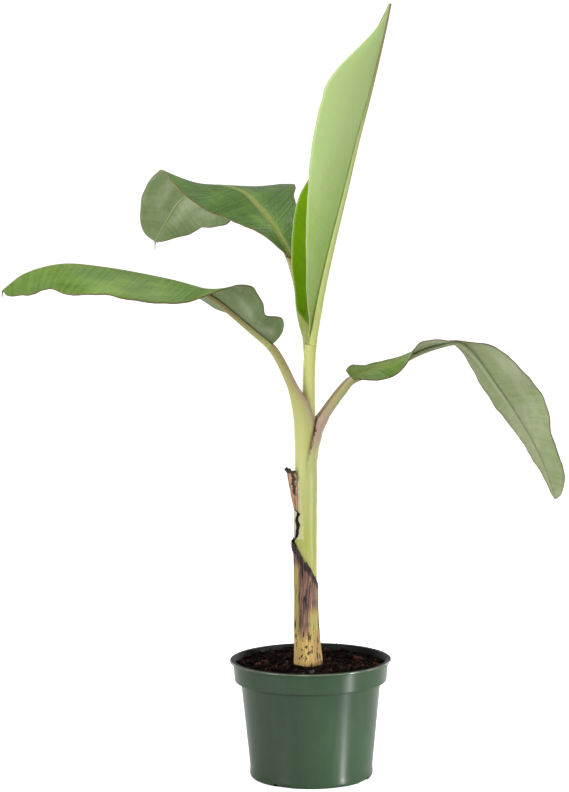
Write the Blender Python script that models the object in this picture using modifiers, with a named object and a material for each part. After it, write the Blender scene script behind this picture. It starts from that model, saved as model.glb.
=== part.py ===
"""Young banana plant in a round nursery pot, at its real size.

Metres, +Z up. The origin is the centre of the pot's flat underside. The plant's
front is -Y. Every sub-part is one closed solid: pot, soil, pseudostem, three leaf
stalks, two dried sheaths and the four leaves, two of them in an inner and an outer
length where the rib turns over.
"""
import bmesh
import bpy
import numpy as np
from mathutils import Vector
from math import cos, pi, radians, sin

GAP = 0.0003            # clearance between pieces that touch in life
JOINT_STEP = 0.0015     # length over which a limb's direction at its end is taken
SEAM_WELD = 0.00002     # points closer than this are one point

# Pot: a thin moulded shell, 165 mm across the lip and 122 mm tall
POT_HEIGHT = 0.122
LIP_RADIUS = 0.0825
LIP_DEPTH = 0.0024
LIP_ROUND = 0.0006
COLLAR_TOP_RADIUS = 0.0794
COLLAR_FOOT_RADIUS = 0.0778
COLLAR_FOOT_HEIGHT = 0.1000
BODY_TOP_RADIUS = 0.0714
BODY_TOP_HEIGHT = 0.0982
STEP_ROUND = 0.0008     # of the step under the collar
BODY_FOOT_RADIUS = 0.0624
FOOT_BULGE = 0.0006
FOOT_BAND = (0.0120, 0.0075)    # heights between which the foot bulges
FOOT_CORNER = 0.0040
INNER_CORNER = 0.0030
POT_WALL = 0.0018
POT_FLOOR = 0.0022
POT_STEPS = 48
NOTCH_LENGTH = 0.020     # drain notches in the foot, open below
NOTCH_HEIGHT = 0.0038
NOTCH_DEPTH = 0.0045
NOTCH_ANGLES = (-119, -29, 61, 151)     # degrees round the foot from +X

# Soil: fills the pot to 5.5 mm below the lip, level where the plant stands
SOIL_TOP = 0.1165
SOIL_SWELL = 0.0016
SOIL_WAVES = (90, 110, 260, 170)        # of its swells, in radians per metre
SOIL_RINGS = (0.026, 0.037, 0.050, 0.063)
SOIL_EDGE = 0.0015      # how far its edge stays off the collar

# Limbs: route points (x, y, z) with the radius at each
STEM_ROUTE = ((-0.0018, 0.0, 0.108), (-0.0028, 0.0, 0.130), (-0.0038, 0.0, 0.160),
              (-0.0042, 0.0, 0.205), (-0.0038, 0.0, 0.255), (-0.0032, 0.0, 0.306),
              (-0.0030, 0.0, 0.337), (-0.0012, 0.0, 0.363), (0.0000, 0.0, 0.388),
              (0.0010, 0.0, 0.419))
STEM_RADII = (0.0149, 0.0134, 0.0122, 0.0114, 0.0116, 0.0117, 0.0116, 0.0090, 0.0066,
              0.0064, 0.0062)
LEFT_STALK_ROUTE = ((-0.0050, -0.0020, 0.336), (-0.0078, -0.0055, 0.360), (-0.0098, -0.0076, 0.389),
                    (-0.0152, -0.0122, 0.402), (-0.0195, -0.0155, 0.412), (-0.0282, -0.0207, 0.431))
LEFT_STALK_RADII = (0.0095, 0.0086, 0.0068, 0.0058, 0.0050, 0.0047, 0.0045)
RIGHT_STALK_ROUTE = ((-0.0005, -0.0010, 0.326), (0.0045, -0.0005, 0.350), (0.0118, 0.0032, 0.3665),
                     (0.0171, 0.0058, 0.3743), (0.0246, 0.0100, 0.3845), (0.0338, 0.0152, 0.3955))
RIGHT_STALK_RADII = (0.0088, 0.0076, 0.0066, 0.0057, 0.0050, 0.0047, 0.0046)
BACK_STALK_ROUTE = ((-0.0030, 0.0050, 0.350), (-0.0012, 0.0100, 0.368), (0.0002, 0.0132, 0.390),
                    (0.0004, 0.0165, 0.417), (-0.0024, 0.0220, 0.458), (-0.0095, 0.0360, 0.497))
BACK_STALK_RADII = (0.0062, 0.0058, 0.0050, 0.0046, 0.0042, 0.0037, 0.0033)
STEM_POINTS = 34        # along the stem, and along each stalk
STALK_POINTS = 18
LIMB_ROUNDNESS = 5

# Blades. "rib" is the route of the rib from stalk to tip. "face" is the way the upper
# side looks at the base, and "hand" the side of the rib that the near half is on. Each
# row of "folds" is: share along the rib, then the near half's lift and curl and the far
# half's, in degrees above the plane across the rib. A half is: widest half width, share
# where it is widest, how fast it swells to it and how fast it closes after it.
BLADE_THICKNESS = 0.0032
BLADE_EDGE = 0.0012     # half width left at the very tip
BLADE_STATIONS = 36
BLADE_COLUMNS = 8
STATION_CROWDING = 1.15     # above 1, the stations stand closer at the base
RIB_TIP_RADIUS = 0.0017
RIB_TAPER = 0.7
BASE_TAPER = 6          # how fast the blade's base leaves the width of its stalk
LEFT_LEAF = dict(
    rib=((-0.0384, -0.0277, 0.4468), (-0.0573, -0.04, 0.4645), (-0.0749, -0.05, 0.4809),
         (-0.0924, -0.058, 0.4961), (-0.1156, -0.064, 0.509), (-0.1548, -0.068, 0.5193),
         (-0.2038, -0.066, 0.5283), (-0.2438, -0.06, 0.5313), (-0.28, -0.05, 0.522),
         (-0.3034, -0.045, 0.5055)),
    face=(0.6, 0.0, 0.8), hand=1, rib_radius=0.0045,
    folds=((0.00, 80, 21, -30, 0), (0.05, 86, 15, -19, 0), (0.10, 66, 10, -9, 0),
           (0.20, 66, 0, -21, 0), (0.27, 31, -20, -21, 0), (0.34, -10, -30, -18, 0),
           (0.45, -30, -20, -18, -10), (0.60, -37, -20, -15, -14), (0.80, -54, -20, -15, -20),
           (1.00, -56, 0, 0, 0)),
    near=(0.0402, 0.42, 0.51, 0.4), far=(0.0415, 0.42, 0.69, 0.58),
    near_lobes=((0.02, 0.0091, 0.03), (0.1, -0.0076, 0.03), (0.16, -0.0028, 0.04), (0.6, -0.0015, 0.06),
                (0.72, 0.0021, 0.06), (0.82, -0.0045, 0.05), (0.92, 0.0025, 0.05)),
    far_lobes=((0.96, 0.002, 0.04),))
BACK_LEAF = dict(
    rib=((-0.0184, 0.053, 0.5287), (-0.0318, 0.07, 0.5549), (-0.0471, 0.095, 0.5753),
         (-0.0656, 0.13, 0.592), (-0.0879, 0.165, 0.5978), (-0.11, 0.2, 0.5965),
         (-0.1242, 0.222, 0.5897), (-0.1387, 0.232, 0.5766), (-0.1513, 0.234, 0.5569),
         (-0.1632, 0.23, 0.536)),
    face=(0.3, -0.7, 0.5), hand=1, rib_radius=0.0033,
    folds=((0.00, 29, 0, 26, 0), (0.20, -16, 0, 22, 0), (0.45, -24, 0, -7, 0), (0.60, 9, 0, -21, 0),
           (0.70, 32, 0, -55, 0), (0.80, 40, 0, -70, 0), (0.90, 58, 0, -70, 0), (1.00, 66, 0, -79, 0)),
    near=(0.0441, 0.65, 0.63, 0.4), far=(0.0424, 0.56, 0.48, 0.59),
    near_lobes=((0.1, -0.0029, 0.07),),
    far_lobes=((0.35, 0.013, 0.1), (0.7, 0.0114, 0.07), (0.8, 0.0084, 0.07), (0.9, 0.0078, 0.06)),
    bend=0.52)
RIGHT_LEAF = dict(
    rib=((0.0445, 0.0212, 0.4059), (0.0653, 0.0285, 0.4129), (0.0915, 0.036, 0.4214),
         (0.1133, 0.044, 0.4309), (0.1357, 0.052, 0.4374), (0.1553, 0.06, 0.439),
         (0.1719, 0.068, 0.4251), (0.1921, 0.074, 0.3969), (0.2182, 0.08, 0.3582),
         (0.2414, 0.085, 0.3171), (0.2585, 0.09, 0.2712)),
    face=(0.0, 0.0, 1.0), hand=-1, rib_radius=0.0046,
    folds=((0.00, -22, 0, 61, 0), (0.06, -38, 0, 35, 0), (0.12, -29, 0, 15, 0), (0.18, 5, 0, -2, 0),
           (0.22, 25, 0, -9, 0), (0.26, 23, 0, -2, 0), (0.32, 8, 0, -9, 0), (0.37, 2, 0, -12, 0),
           (0.42, 16, 0, -15, 0), (0.48, 27, 0, -29, 0), (0.56, 42, 0, -44, 0), (0.65, 58, 0, -45, 0),
           (0.80, 28, 0, -27, 0), (1.00, 43, 0, -24, 0)),
    near=(0.0324, 0.55, 0.55, 0.52), far=(0.0143, 0.55, 0.69, 0.56),
    near_lobes=((0.12, 0.0015, 0.04), (0.7, 0.0021, 0.05), (0.93, 0.0024, 0.04)),
    far_lobes=((0.015, 0.004, 0.03), (0.62, 0.001, 0.06), (0.85, 0.002, 0.05), (0.93, -0.0015, 0.05)),
    bend=0.47)
UPRIGHT_LEAF = dict(
    rib=((0.003, 0.0, 0.444), (0.008, 0.004, 0.471), (0.016, 0.008, 0.509),
         (0.027, 0.012, 0.554), (0.039, 0.014, 0.600), (0.051, 0.014, 0.648),
         (0.063, 0.012, 0.692), (0.073, 0.008, 0.732), (0.080, 0.004, 0.762),
         (0.085, 0.0, 0.786)),
    face=(-1.0, -0.1, 0.2), hand=-1, rib_radius=0.0060,
    folds=((0.00, 20, 0, 34, 20), (0.06, 12, 0, 46, 30), (0.12, 38, 10, 60, 40),
           (0.20, 50, 25, 66, 40), (0.30, 60, 40, 58, 35), (0.40, 64, 44, 50, 28),
           (0.47, 66, 45, 36, 25), (0.54, 67, 45, 28, 22), (0.70, 66, 40, 40, 20),
           (1.00, 60, 30, 60, 30)),
    near=(0.050, 0.72, 1.15, 2.00), far=(0.050, 0.48, 1.10, 1.30),
    near_lobes=(), far_lobes=())

# Dried sheaths: skins that hug the stem. Angles are degrees round it from +X.
SHEATH_CLEARANCE = 0.00075
LOWER_SHEATH_SPAN = (72, 372)
LOWER_SHEATH_EDGE = ((0, 0.250), (0.36, 0.247), (0.52, 0.236), (0.66, 0.219), (0.80, 0.204),
                     (1, 0.198))        # share round it and height
LOWER_SHEATH_SKIN = 0.0012
LOWER_SHEATH_ROLL = 0.0020      # how much thicker its rolled edge is where it starts
LOWER_SHEATH_GRID = (26, 14)
UPPER_SHEATH_TOP = 0.320
UPPER_SHEATH_FOOT = 0.254
UPPER_SHEATH_TURN = (184, 226)      # middle of the strip, top and foot
UPPER_SHEATH_HALF_SPAN = (26, 13)
UPPER_SHEATH_SKIN = (0.0072, 0.0013)
UPPER_SHEATH_CORNERS = 0.004    # how far its top's corners drop
UPPER_SHEATH_GRID = (6, 14)


def clear_scene():
    for thing in list(bpy.data.objects):
        bpy.data.objects.remove(thing, do_unlink=True)


def collection(name):
    made = bpy.data.collections.new(name)
    bpy.context.scene.collection.children.link(made)
    return made


def material(name, colour, roughness):
    made = bpy.data.materials.new(name)
    made.use_nodes = True
    shader = made.node_tree.nodes["Principled BSDF"]
    shader.inputs["Base Color"].default_value = (*colour, 1.0)
    shader.inputs["Roughness"].default_value = roughness
    shader.inputs["Metallic"].default_value = 0.0
    made.diffuse_color = (*colour, 1.0)
    return made


def add_object(name, data, where, finish=None):
    made = bpy.data.objects.new(name, data)
    where.objects.link(made)
    if finish is not None:
        made.data.materials.append(finish)
    return made


def evaluated_mesh(source):
    """The object's mesh with its modifiers, in world space, with its seams welded."""
    bpy.context.view_layer.update()
    graph = bpy.context.evaluated_depsgraph_get()
    mesh = bpy.data.meshes.new_from_object(source.evaluated_get(graph))
    mesh.transform(source.matrix_world)
    body = bmesh.new()
    body.from_mesh(mesh)
    bmesh.ops.remove_doubles(body, verts=body.verts, dist=SEAM_WELD)
    bmesh.ops.recalc_face_normals(body, faces=body.faces)
    body.to_mesh(mesh)
    body.free()
    bpy.data.objects.remove(source, do_unlink=True)
    return mesh


def smooth(mesh, sharp_degrees=40):
    mesh.shade_smooth()
    mesh.set_sharp_from_angle(angle=radians(sharp_degrees))


# Curves and limbs


def along(points, start, end, shares):
    """Points at even shares of the length of a smooth curve, from knot start to knot end."""
    knots = np.array(points, dtype=float)
    padded = np.vstack([2 * knots[0] - knots[1], knots, 2 * knots[-1] - knots[-2]])
    fine = np.linspace(start, end, 600)
    knot = np.clip(fine.astype(int), 0, len(knots) - 2)
    t = (fine - knot)[:, None]
    a, b, c, d = (padded[knot + step] for step in range(4))
    curve = 0.5 * (2 * b + (c - a) * t + (2 * a - 5 * b + 4 * c - d) * t ** 2
                   + (3 * b - a - 3 * c + d) * t ** 3)
    run = np.concatenate([[0], np.cumsum(np.linalg.norm(np.diff(curve, axis=0), axis=1))])
    wanted = np.asarray(shares) * run[-1]
    return np.stack([np.interp(wanted, run, curve[:, axis]) for axis in range(3)], axis=1), run[-1]


def limb(name, route, radii, leaf, grow, count, where):
    """A round limb along its route, which ends one gap short of the blade's first point."""
    points = np.array([*route, leaf["rib"][0], leaf["rib"][1]])
    joint = len(route)
    length = along(points, 0, joint, (0, 1))[1]
    shares = [*np.linspace(0, 1 - 4 * JOINT_STEP / length, count - 1), 1 - JOINT_STEP / length,
              1 - GAP / length]
    line = along(points, 0, joint, shares)[0]
    knots = np.array([along(points, 0, k, (0, 1))[1] if k else 0.0 for k in range(joint + 1)])
    curve = bpy.data.curves.new(name, "CURVE")
    curve.dimensions = "3D"
    curve.bevel_depth = 1.0
    curve.bevel_resolution = LIMB_ROUNDNESS
    curve.use_fill_caps = True
    spline = curve.splines.new("POLY")
    spline.points.add(len(line) - 1)
    for point, place, share in zip(spline.points, line, shares):
        point.co = (*place, 1.0)
        point.radius = np.interp(share * length, knots, radii) + grow
    return add_object(name, curve, where)


# Blades


def read_rows(rows, share):
    """Read a table of rows at a share, with smooth turns between the rows."""
    table = np.array(rows, dtype=float)
    at, values = table[:, 0], table[:, 1:]
    width = np.diff(at)
    slope = np.diff(values, axis=0) / width[:, None]
    turn = np.vstack([slope[:1], slope[1:], slope[-1:]])
    for k in range(1, len(at) - 1):
        turn[k] = (slope[k - 1] * width[k] + slope[k] * width[k - 1]) / (width[k] + width[k - 1])
    k = np.clip(np.searchsorted(at, share, side="right") - 1, 0, len(at) - 2)
    h = width[k][:, None]
    t = (share[:, None] - at[k][:, None]) / h
    return ((1 + 2 * t) * (1 - t) ** 2 * values[k] + t * (1 - t) ** 2 * h * turn[k]
            + t * t * (3 - 2 * t) * values[k + 1] + t * t * (t - 1) * h * turn[k + 1])


def half_width(share, half, lobes):
    """Half width of a blade: it swells to its widest place, then closes to the tip."""
    widest, place, swell, close = half
    rise = np.sin(pi / 2 * np.clip(share / place, 0, 1)) ** swell
    fall = np.clip(np.cos(pi / 2 * np.clip((share - place) / (1 - place), 0, 1)), 0, 1) ** close
    form = np.where(share < place, rise, fall)
    width = widest * form
    for middle, size, reach in lobes:
        width = width + size * np.exp(-((share - middle) / reach) ** 2) * np.clip(6 * form, 0, 1)
    return width


def rib_frames(line, face):
    """Tangents along the rib, and the upper side's direction carried along without twist."""
    tangent = np.gradient(line, axis=0)
    tangent /= np.linalg.norm(tangent, axis=1)[:, None]
    upper = [Vector(face)]
    upper[0] -= Vector(tangent[0]) * upper[0].dot(Vector(tangent[0]))
    upper[0].normalize()
    for before, after in zip(tangent[:-1], tangent[1:]):
        turn = Vector(before).rotation_difference(Vector(after))
        carried = turn @ upper[-1]
        carried -= Vector(after) * carried.dot(Vector(after))
        upper.append(carried.normalized())
    return tangent, np.array(upper)


def blade_rule(stalk, leaf, shares, columns):
    """Upper face of a blade: a row of points per share, far margin to near margin."""
    points = np.array([*stalk[-2:], *leaf["rib"]])
    line = along(points, 2, len(points) - 1, shares)[0]
    tangent, upper = rib_frames(line, leaf["face"])
    across = np.cross(upper, tangent) * leaf["hand"]
    folds = np.radians(read_rows(leaf["folds"], shares))
    rib_radius = leaf["rib_radius"] + (RIB_TIP_RADIUS - leaf["rib_radius"]) * shares ** RIB_TAPER
    seam = line + upper * rib_radius[:, None]
    steps = columns // 2
    halves = []
    for key, way, first in (("far", -1, 2), ("near", 1, 0)):
        width = half_width(shares, leaf[key], leaf[key + "_lobes"])
        width = BLADE_EDGE + width + (rib_radius - RIB_TIP_RADIUS) * (1 - shares) ** BASE_TAPER
        rows = [seam]
        for step in range(1, steps + 1):
            lift = folds[:, first] + folds[:, first + 1] * ((step - 0.5) / steps - 0.5)
            course = way * across * np.cos(lift)[:, None] + upper * np.sin(lift)[:, None]
            rows.append(rows[-1] + course * (width / steps)[:, None])
        halves.append(rows)
    return np.stack(halves[0][:0:-1] + halves[1], axis=1), rib_radius


def blade(name, stalk, leaf, where):
    """A blade of even thickness with its rib as a keel under it."""
    body = bmesh.new()
    bmesh.ops.create_grid(body, x_segments=BLADE_STATIONS, y_segments=BLADE_COLUMNS, size=1.0)
    shares = np.linspace(0, 1, BLADE_STATIONS + 1) ** STATION_CROWDING
    surface, rib_radius = blade_rule(stalk, leaf, shares, BLADE_COLUMNS)
    middle = BLADE_COLUMNS // 2
    weights = {}
    for vert in body.verts:
        row = round((vert.co.x + 1) / 2 * BLADE_STATIONS)
        column = round((vert.co.y + 1) / 2 * BLADE_COLUMNS)
        vert.co = surface[row, column]
        keel = 2 * rib_radius[row] if column == middle else BLADE_THICKNESS
        weights[vert.index] = max(keel, BLADE_THICKNESS) / (2 * leaf["rib_radius"])
    mesh = bpy.data.meshes.new(name)
    body.to_mesh(mesh)
    body.free()
    made = add_object(name, mesh, where)
    group = made.vertex_groups.new(name="keel")
    for index, weight in weights.items():
        group.add([index], weight, "REPLACE")
    upper = rib_frames(surface[:, middle], leaf["face"])[1][0]
    if mesh.polygons[0].normal.dot(Vector(upper)) < 0:
        mesh.flip_normals()
    skin = made.modifiers.new("thickness", "SOLIDIFY")
    skin.thickness = 2 * leaf["rib_radius"]
    skin.offset = -1
    skin.vertex_group = "keel"
    skin.use_quality_normals = True
    return made


def rib_plane(stalk, leaf, share):
    """Point and direction of the plane square across the rib at a share of its length."""
    points = np.array([*stalk[-2:], *leaf["rib"]])
    length = along(points, 2, len(points) - 1, (0, 1))[1]
    step = JOINT_STEP / length
    behind, place, ahead = along(points, 2, len(points) - 1, (max(share - step, 0), share, share + step))[0]
    if share == 0:
        reach = along(points, 1, 2, (0, 1))[1]
        behind = along(points, 1, 2, (0, 1 - JOINT_STEP / reach))[0][1]
    return Vector(place), Vector(ahead - behind).normalized()


def cut_square(body, place, course):
    """Keep what lies ahead of a plane, and close the cut."""
    everything = body.verts[:] + body.edges[:] + body.faces[:]
    bmesh.ops.bisect_plane(body, geom=everything, plane_co=place, plane_no=course, clear_inner=True)
    rim = [edge for edge in body.edges if edge.is_boundary]
    bmesh.ops.holes_fill(body, edges=rim)


def make_leaf(names, stalk, leaf, finish, where):
    """A leaf cut square where it meets its stalk, and in two lengths where its rib turns over."""
    whole = evaluated_mesh(blade(names[0] + "_blank", stalk, leaf, where))
    base, base_course = rib_plane(stalk, leaf, 0)
    for number, name in enumerate(names):
        body = bmesh.new()
        body.from_mesh(whole)
        cut_square(body, base, base_course)
        if len(names) == 2:
            place, course = rib_plane(stalk, leaf, leaf["bend"])
            way = course if number else -course
            cut_square(body, place + way * GAP / 2, way)
        bmesh.ops.recalc_face_normals(body, faces=body.faces)
        mesh = bpy.data.meshes.new(name)
        body.to_mesh(mesh)
        body.free()
        smooth(mesh)
        add_object(name, mesh, where, finish)


# Sub-parts


def make_pot(finish, where, cutters):
    """The pot: a turned shell with a lip, a collar, a tapered body and drain notches."""
    foot = BODY_FOOT_RADIUS + FOOT_BULGE
    outside = [(LIP_RADIUS - LIP_ROUND, POT_HEIGHT), (LIP_RADIUS, POT_HEIGHT - LIP_ROUND),
               (LIP_RADIUS, POT_HEIGHT - LIP_DEPTH + LIP_ROUND),
               (LIP_RADIUS - LIP_ROUND, POT_HEIGHT - LIP_DEPTH),
               (COLLAR_TOP_RADIUS, POT_HEIGHT - LIP_DEPTH - LIP_ROUND),
               (COLLAR_FOOT_RADIUS, COLLAR_FOOT_HEIGHT + STEP_ROUND),
               (COLLAR_FOOT_RADIUS - STEP_ROUND, COLLAR_FOOT_HEIGHT),
               (BODY_TOP_RADIUS + STEP_ROUND, BODY_TOP_HEIGHT),
               (BODY_TOP_RADIUS, BODY_TOP_HEIGHT - STEP_ROUND),
               (BODY_FOOT_RADIUS, FOOT_BAND[0]), (foot, FOOT_BAND[1])]
    for step in range(5):
        turn = pi / 2 * step / 4
        outside.append((foot - FOOT_CORNER * (1 - cos(turn)), FOOT_CORNER * (1 - sin(turn))))
    outside.append((0.0, 0.0))
    inside = [(0.0, POT_FLOOR), (BODY_FOOT_RADIUS - POT_WALL - INNER_CORNER, POT_FLOOR),
              (BODY_FOOT_RADIUS - POT_WALL, POT_FLOOR + INNER_CORNER),
              (BODY_TOP_RADIUS - POT_WALL, BODY_TOP_HEIGHT + POT_WALL),
              (COLLAR_FOOT_RADIUS - POT_WALL, COLLAR_FOOT_HEIGHT + POT_WALL),
              (COLLAR_TOP_RADIUS - POT_WALL, POT_HEIGHT)]
    pot = turned("pot", inside + outside, POT_STEPS, finish, where)
    for number, angle in enumerate(NOTCH_ANGLES):
        cut = box(f"notch_{number}", (2 * NOTCH_DEPTH, NOTCH_LENGTH, 2 * NOTCH_HEIGHT), cutters)
        cut.location = (foot * cos(radians(angle)), foot * sin(radians(angle)), 0.0)
        cut.rotation_euler.z = radians(angle)
        notch = pot.modifiers.new(f"notch_{number}", "BOOLEAN")
        notch.operation = "DIFFERENCE"
        notch.object = cut
        notch.solver = "EXACT"
    return pot


def turned(name, profile, steps, finish, where):
    mesh = bpy.data.meshes.new(name)
    mesh.from_pydata([(r, 0.0, z) for r, z in profile], [(k, k + 1) for k in range(len(profile) - 1)], [])
    made = add_object(name, mesh, where, finish)
    screw = made.modifiers.new("turn", "SCREW")
    screw.angle = 2 * pi
    screw.steps = steps
    screw.render_steps = steps
    screw.use_merge_vertices = True
    screw.merge_threshold = SEAM_WELD
    screw.use_smooth_shade = True
    return made


def box(name, size, where):
    mesh = bpy.data.meshes.new(name)
    body = bmesh.new()
    bmesh.ops.create_cube(body, size=1.0)
    bmesh.ops.scale(body, vec=size, verts=body.verts)
    body.to_mesh(mesh)
    body.free()
    made = add_object(name, mesh, where)
    made.hide_render = True
    made.display_type = "WIRE"
    return made


def make_soil(finish, where):
    """Soil: a plug that fills the pot, swelling a little away from the plant's level seat."""
    wall = POT_WALL + GAP
    floor = POT_FLOOR + GAP
    profile = [(0.0, SOIL_TOP), *((ring, SOIL_TOP) for ring in SOIL_RINGS),
               (COLLAR_TOP_RADIUS - wall - SOIL_EDGE, SOIL_TOP - SOIL_EDGE / 2),
               (COLLAR_FOOT_RADIUS - wall, COLLAR_FOOT_HEIGHT + wall + GAP),
               (BODY_TOP_RADIUS - wall, BODY_TOP_HEIGHT + wall),
               (BODY_FOOT_RADIUS - wall, floor + INNER_CORNER),
               (BODY_FOOT_RADIUS - wall - INNER_CORNER, floor), (0.0, floor)]
    mesh = evaluated_mesh(turned("soil_blank", profile, POT_STEPS, None, where))
    mesh.name = "soil"
    wide_x, wide_y, short_x, short_y = SOIL_WAVES
    for vert in mesh.vertices:
        x, y, z = vert.co
        if z > SOIL_TOP - SOIL_EDGE and (x * x + y * y) ** 0.5 > SOIL_RINGS[0] + SEAM_WELD:
            vert.co.z += SOIL_SWELL * sin(wide_x * x + 1.0) * cos(wide_y * y + 0.5)
            vert.co.z += 0.4 * SOIL_SWELL * sin(short_x * x + short_y * y)
    smooth(mesh)
    return add_object("soil", mesh, where, finish)


def make_stalk(name, route, radii, leaf, finish, where, stem_space):
    """A leaf stalk: a tapering limb that leaves the stem, hollowed to clear it."""
    mesh = evaluated_mesh(limb(name + "_blank", route, radii, leaf, 0.0, STALK_POINTS, where))
    smooth(mesh)
    made = add_object(name, mesh, where, finish)
    cut = made.modifiers.new("clear_of_stem", "BOOLEAN")
    cut.operation = "DIFFERENCE"
    cut.object = stem_space
    cut.solver = "EXACT"
    return made


def stem_at(height):
    """Centre and radius of the stem at a height."""
    heights = [point[2] for point in STEM_ROUTE]
    middle_x = np.interp(height, heights, [point[0] for point in STEM_ROUTE])
    return middle_x, np.interp(height, heights, STEM_RADII[:len(STEM_ROUTE)])


def wrap(name, angle_of, height_of, thickness_of, grid, finish, where):
    """A skin round the stem: a grid laid on it by angle and height, and thickened."""
    body = bmesh.new()
    bmesh.ops.create_grid(body, x_segments=grid[0], y_segments=grid[1], size=0.5)
    thickness = {}
    most = max(thickness_of(s, t) for s in (0, 0.5, 1) for t in (0, 0.5, 1))
    for vert in body.verts:
        s, t = vert.co.x + 0.5, vert.co.y + 0.5
        height = height_of(s, t)
        angle = radians(angle_of(s, t))
        middle_x, radius = stem_at(height)
        reach = radius + SHEATH_CLEARANCE
        vert.co = (middle_x + reach * cos(angle), reach * sin(angle), height)
        thickness[vert.index] = thickness_of(s, t) / most
    mesh = bpy.data.meshes.new(name)
    body.to_mesh(mesh)
    body.free()
    made = add_object(name, mesh, where, finish)
    group = made.vertex_groups.new(name="skin")
    for index, share in thickness.items():
        group.add([index], share, "REPLACE")
    face = mesh.polygons[len(mesh.polygons) // 2]
    if face.normal.dot(Vector((face.center.x - stem_at(face.center.z)[0], face.center.y, 0.0))) < 0:
        mesh.flip_normals()
    skin = made.modifiers.new("skin", "SOLIDIFY")
    skin.thickness = most
    skin.offset = 1
    skin.vertex_group = "skin"
    return made


def make_lower_sheath(finish, where):
    start, end = LOWER_SHEATH_SPAN
    shares, heights = zip(*LOWER_SHEATH_EDGE)
    foot = SOIL_TOP + GAP + SOIL_SWELL
    wrap("dry_sheath_lower", lambda s, t: start + (end - start) * s,
         lambda s, t: foot + (np.interp(s, shares, heights) - foot) * t,
         lambda s, t: LOWER_SHEATH_SKIN + (LOWER_SHEATH_ROLL * (1 - s) if round(t, 3) == 1 else 0.0),
         LOWER_SHEATH_GRID, finish, where)


def make_upper_sheath(finish, where):
    top, foot = UPPER_SHEATH_TURN
    wide, narrow = UPPER_SHEATH_HALF_SPAN
    thick, thin = UPPER_SHEATH_SKIN
    wrap("dry_sheath_upper",
         lambda s, t: foot + (top - foot) * t + (2 * s - 1) * (narrow + (wide - narrow) * t),
         lambda s, t: UPPER_SHEATH_FOOT + (UPPER_SHEATH_TOP - UPPER_SHEATH_FOOT) * t
         - UPPER_SHEATH_CORNERS * abs(2 * s - 1) * t,
         lambda s, t: thin + (thick - thin) * t ** 2.5, UPPER_SHEATH_GRID, finish, where)


def build():
    clear_scene()
    plant = collection("potted_banana_plant")
    cutters = collection("cutters")
    green_plastic = material("pot_plastic", (0.085, 0.125, 0.090), 0.42)
    compost = material("soil", (0.030, 0.022, 0.017), 0.95)
    stem_green = material("stem", (0.45, 0.50, 0.20), 0.45)
    leaf_green = material("leaf", (0.14, 0.30, 0.07), 0.42)
    dry_brown = material("dried_sheath", (0.16, 0.09, 0.06), 0.85)

    make_pot(green_plastic, plant, cutters)
    make_soil(compost, plant)
    stem = bmesh.new()
    stem.from_mesh(evaluated_mesh(limb("stem_blank", STEM_ROUTE, STEM_RADII, UPRIGHT_LEAF, 0.0,
                                       STEM_POINTS, plant)))
    cut_square(stem, Vector((0.0, 0.0, SOIL_TOP + GAP)), Vector((0.0, 0.0, 1.0)))
    mesh = bpy.data.meshes.new("pseudostem")
    stem.to_mesh(mesh)
    stem.free()
    smooth(mesh)
    add_object("pseudostem", mesh, plant, stem_green)
    space = limb("stem_space", STEM_ROUTE, STEM_RADII, UPRIGHT_LEAF, GAP, STEM_POINTS, plant)
    stem_space = add_object("stem_space", evaluated_mesh(space), cutters)
    stem_space.hide_render = True
    stem_space.display_type = "WIRE"

    make_stalk("left_stalk", LEFT_STALK_ROUTE, LEFT_STALK_RADII, LEFT_LEAF, stem_green, plant,
               stem_space)
    make_stalk("right_stalk", RIGHT_STALK_ROUTE, RIGHT_STALK_RADII, RIGHT_LEAF, stem_green, plant,
               stem_space)
    make_stalk("back_stalk", BACK_STALK_ROUTE, BACK_STALK_RADII, BACK_LEAF, stem_green, plant,
               stem_space)
    make_lower_sheath(dry_brown, plant)
    make_upper_sheath(dry_brown, plant)

    make_leaf(("left_leaf",), LEFT_STALK_ROUTE, LEFT_LEAF, leaf_green, plant)
    make_leaf(("upright_leaf",), STEM_ROUTE, UPRIGHT_LEAF, leaf_green, plant)
    make_leaf(("back_leaf_rising", "back_leaf_hanging"), BACK_STALK_ROUTE, BACK_LEAF, leaf_green, plant)
    make_leaf(("right_leaf_inner", "right_leaf_outer"), RIGHT_STALK_ROUTE, RIGHT_LEAF, leaf_green, plant)


build()
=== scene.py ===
import random
from math import cos, pi, radians, sin
from types import SimpleNamespace

import bmesh
import bpy
import numpy as np
from mathutils import Matrix, Vector, noise


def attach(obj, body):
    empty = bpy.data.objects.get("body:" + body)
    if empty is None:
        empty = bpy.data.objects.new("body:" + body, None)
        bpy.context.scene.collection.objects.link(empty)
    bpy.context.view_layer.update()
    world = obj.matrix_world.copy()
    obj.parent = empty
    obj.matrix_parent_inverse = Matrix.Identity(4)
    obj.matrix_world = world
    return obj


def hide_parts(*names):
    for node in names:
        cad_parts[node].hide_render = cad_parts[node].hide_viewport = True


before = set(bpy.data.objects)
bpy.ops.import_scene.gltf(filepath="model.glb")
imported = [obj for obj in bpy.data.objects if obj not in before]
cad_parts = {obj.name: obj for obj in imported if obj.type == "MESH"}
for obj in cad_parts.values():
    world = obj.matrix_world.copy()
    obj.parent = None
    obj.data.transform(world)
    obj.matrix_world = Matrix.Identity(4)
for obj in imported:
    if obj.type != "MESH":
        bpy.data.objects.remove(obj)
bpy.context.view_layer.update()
scene = bpy.context.scene


# Camera: a long lens three metres in front, level with the upper leaves and looking a
# little down, so that the rim of the pot opens into a shallow ellipse.
CAMERA_PLACE = (-0.0243, -3.0, 0.736)
CAMERA_DOWN = 6.53      # degrees below level
CAMERA_ROLL = -0.5
CAMERA_LENS = 135.45
CAMERA_SENSOR = 36
CAMERA_SIGHT = 50       # metres

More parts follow.
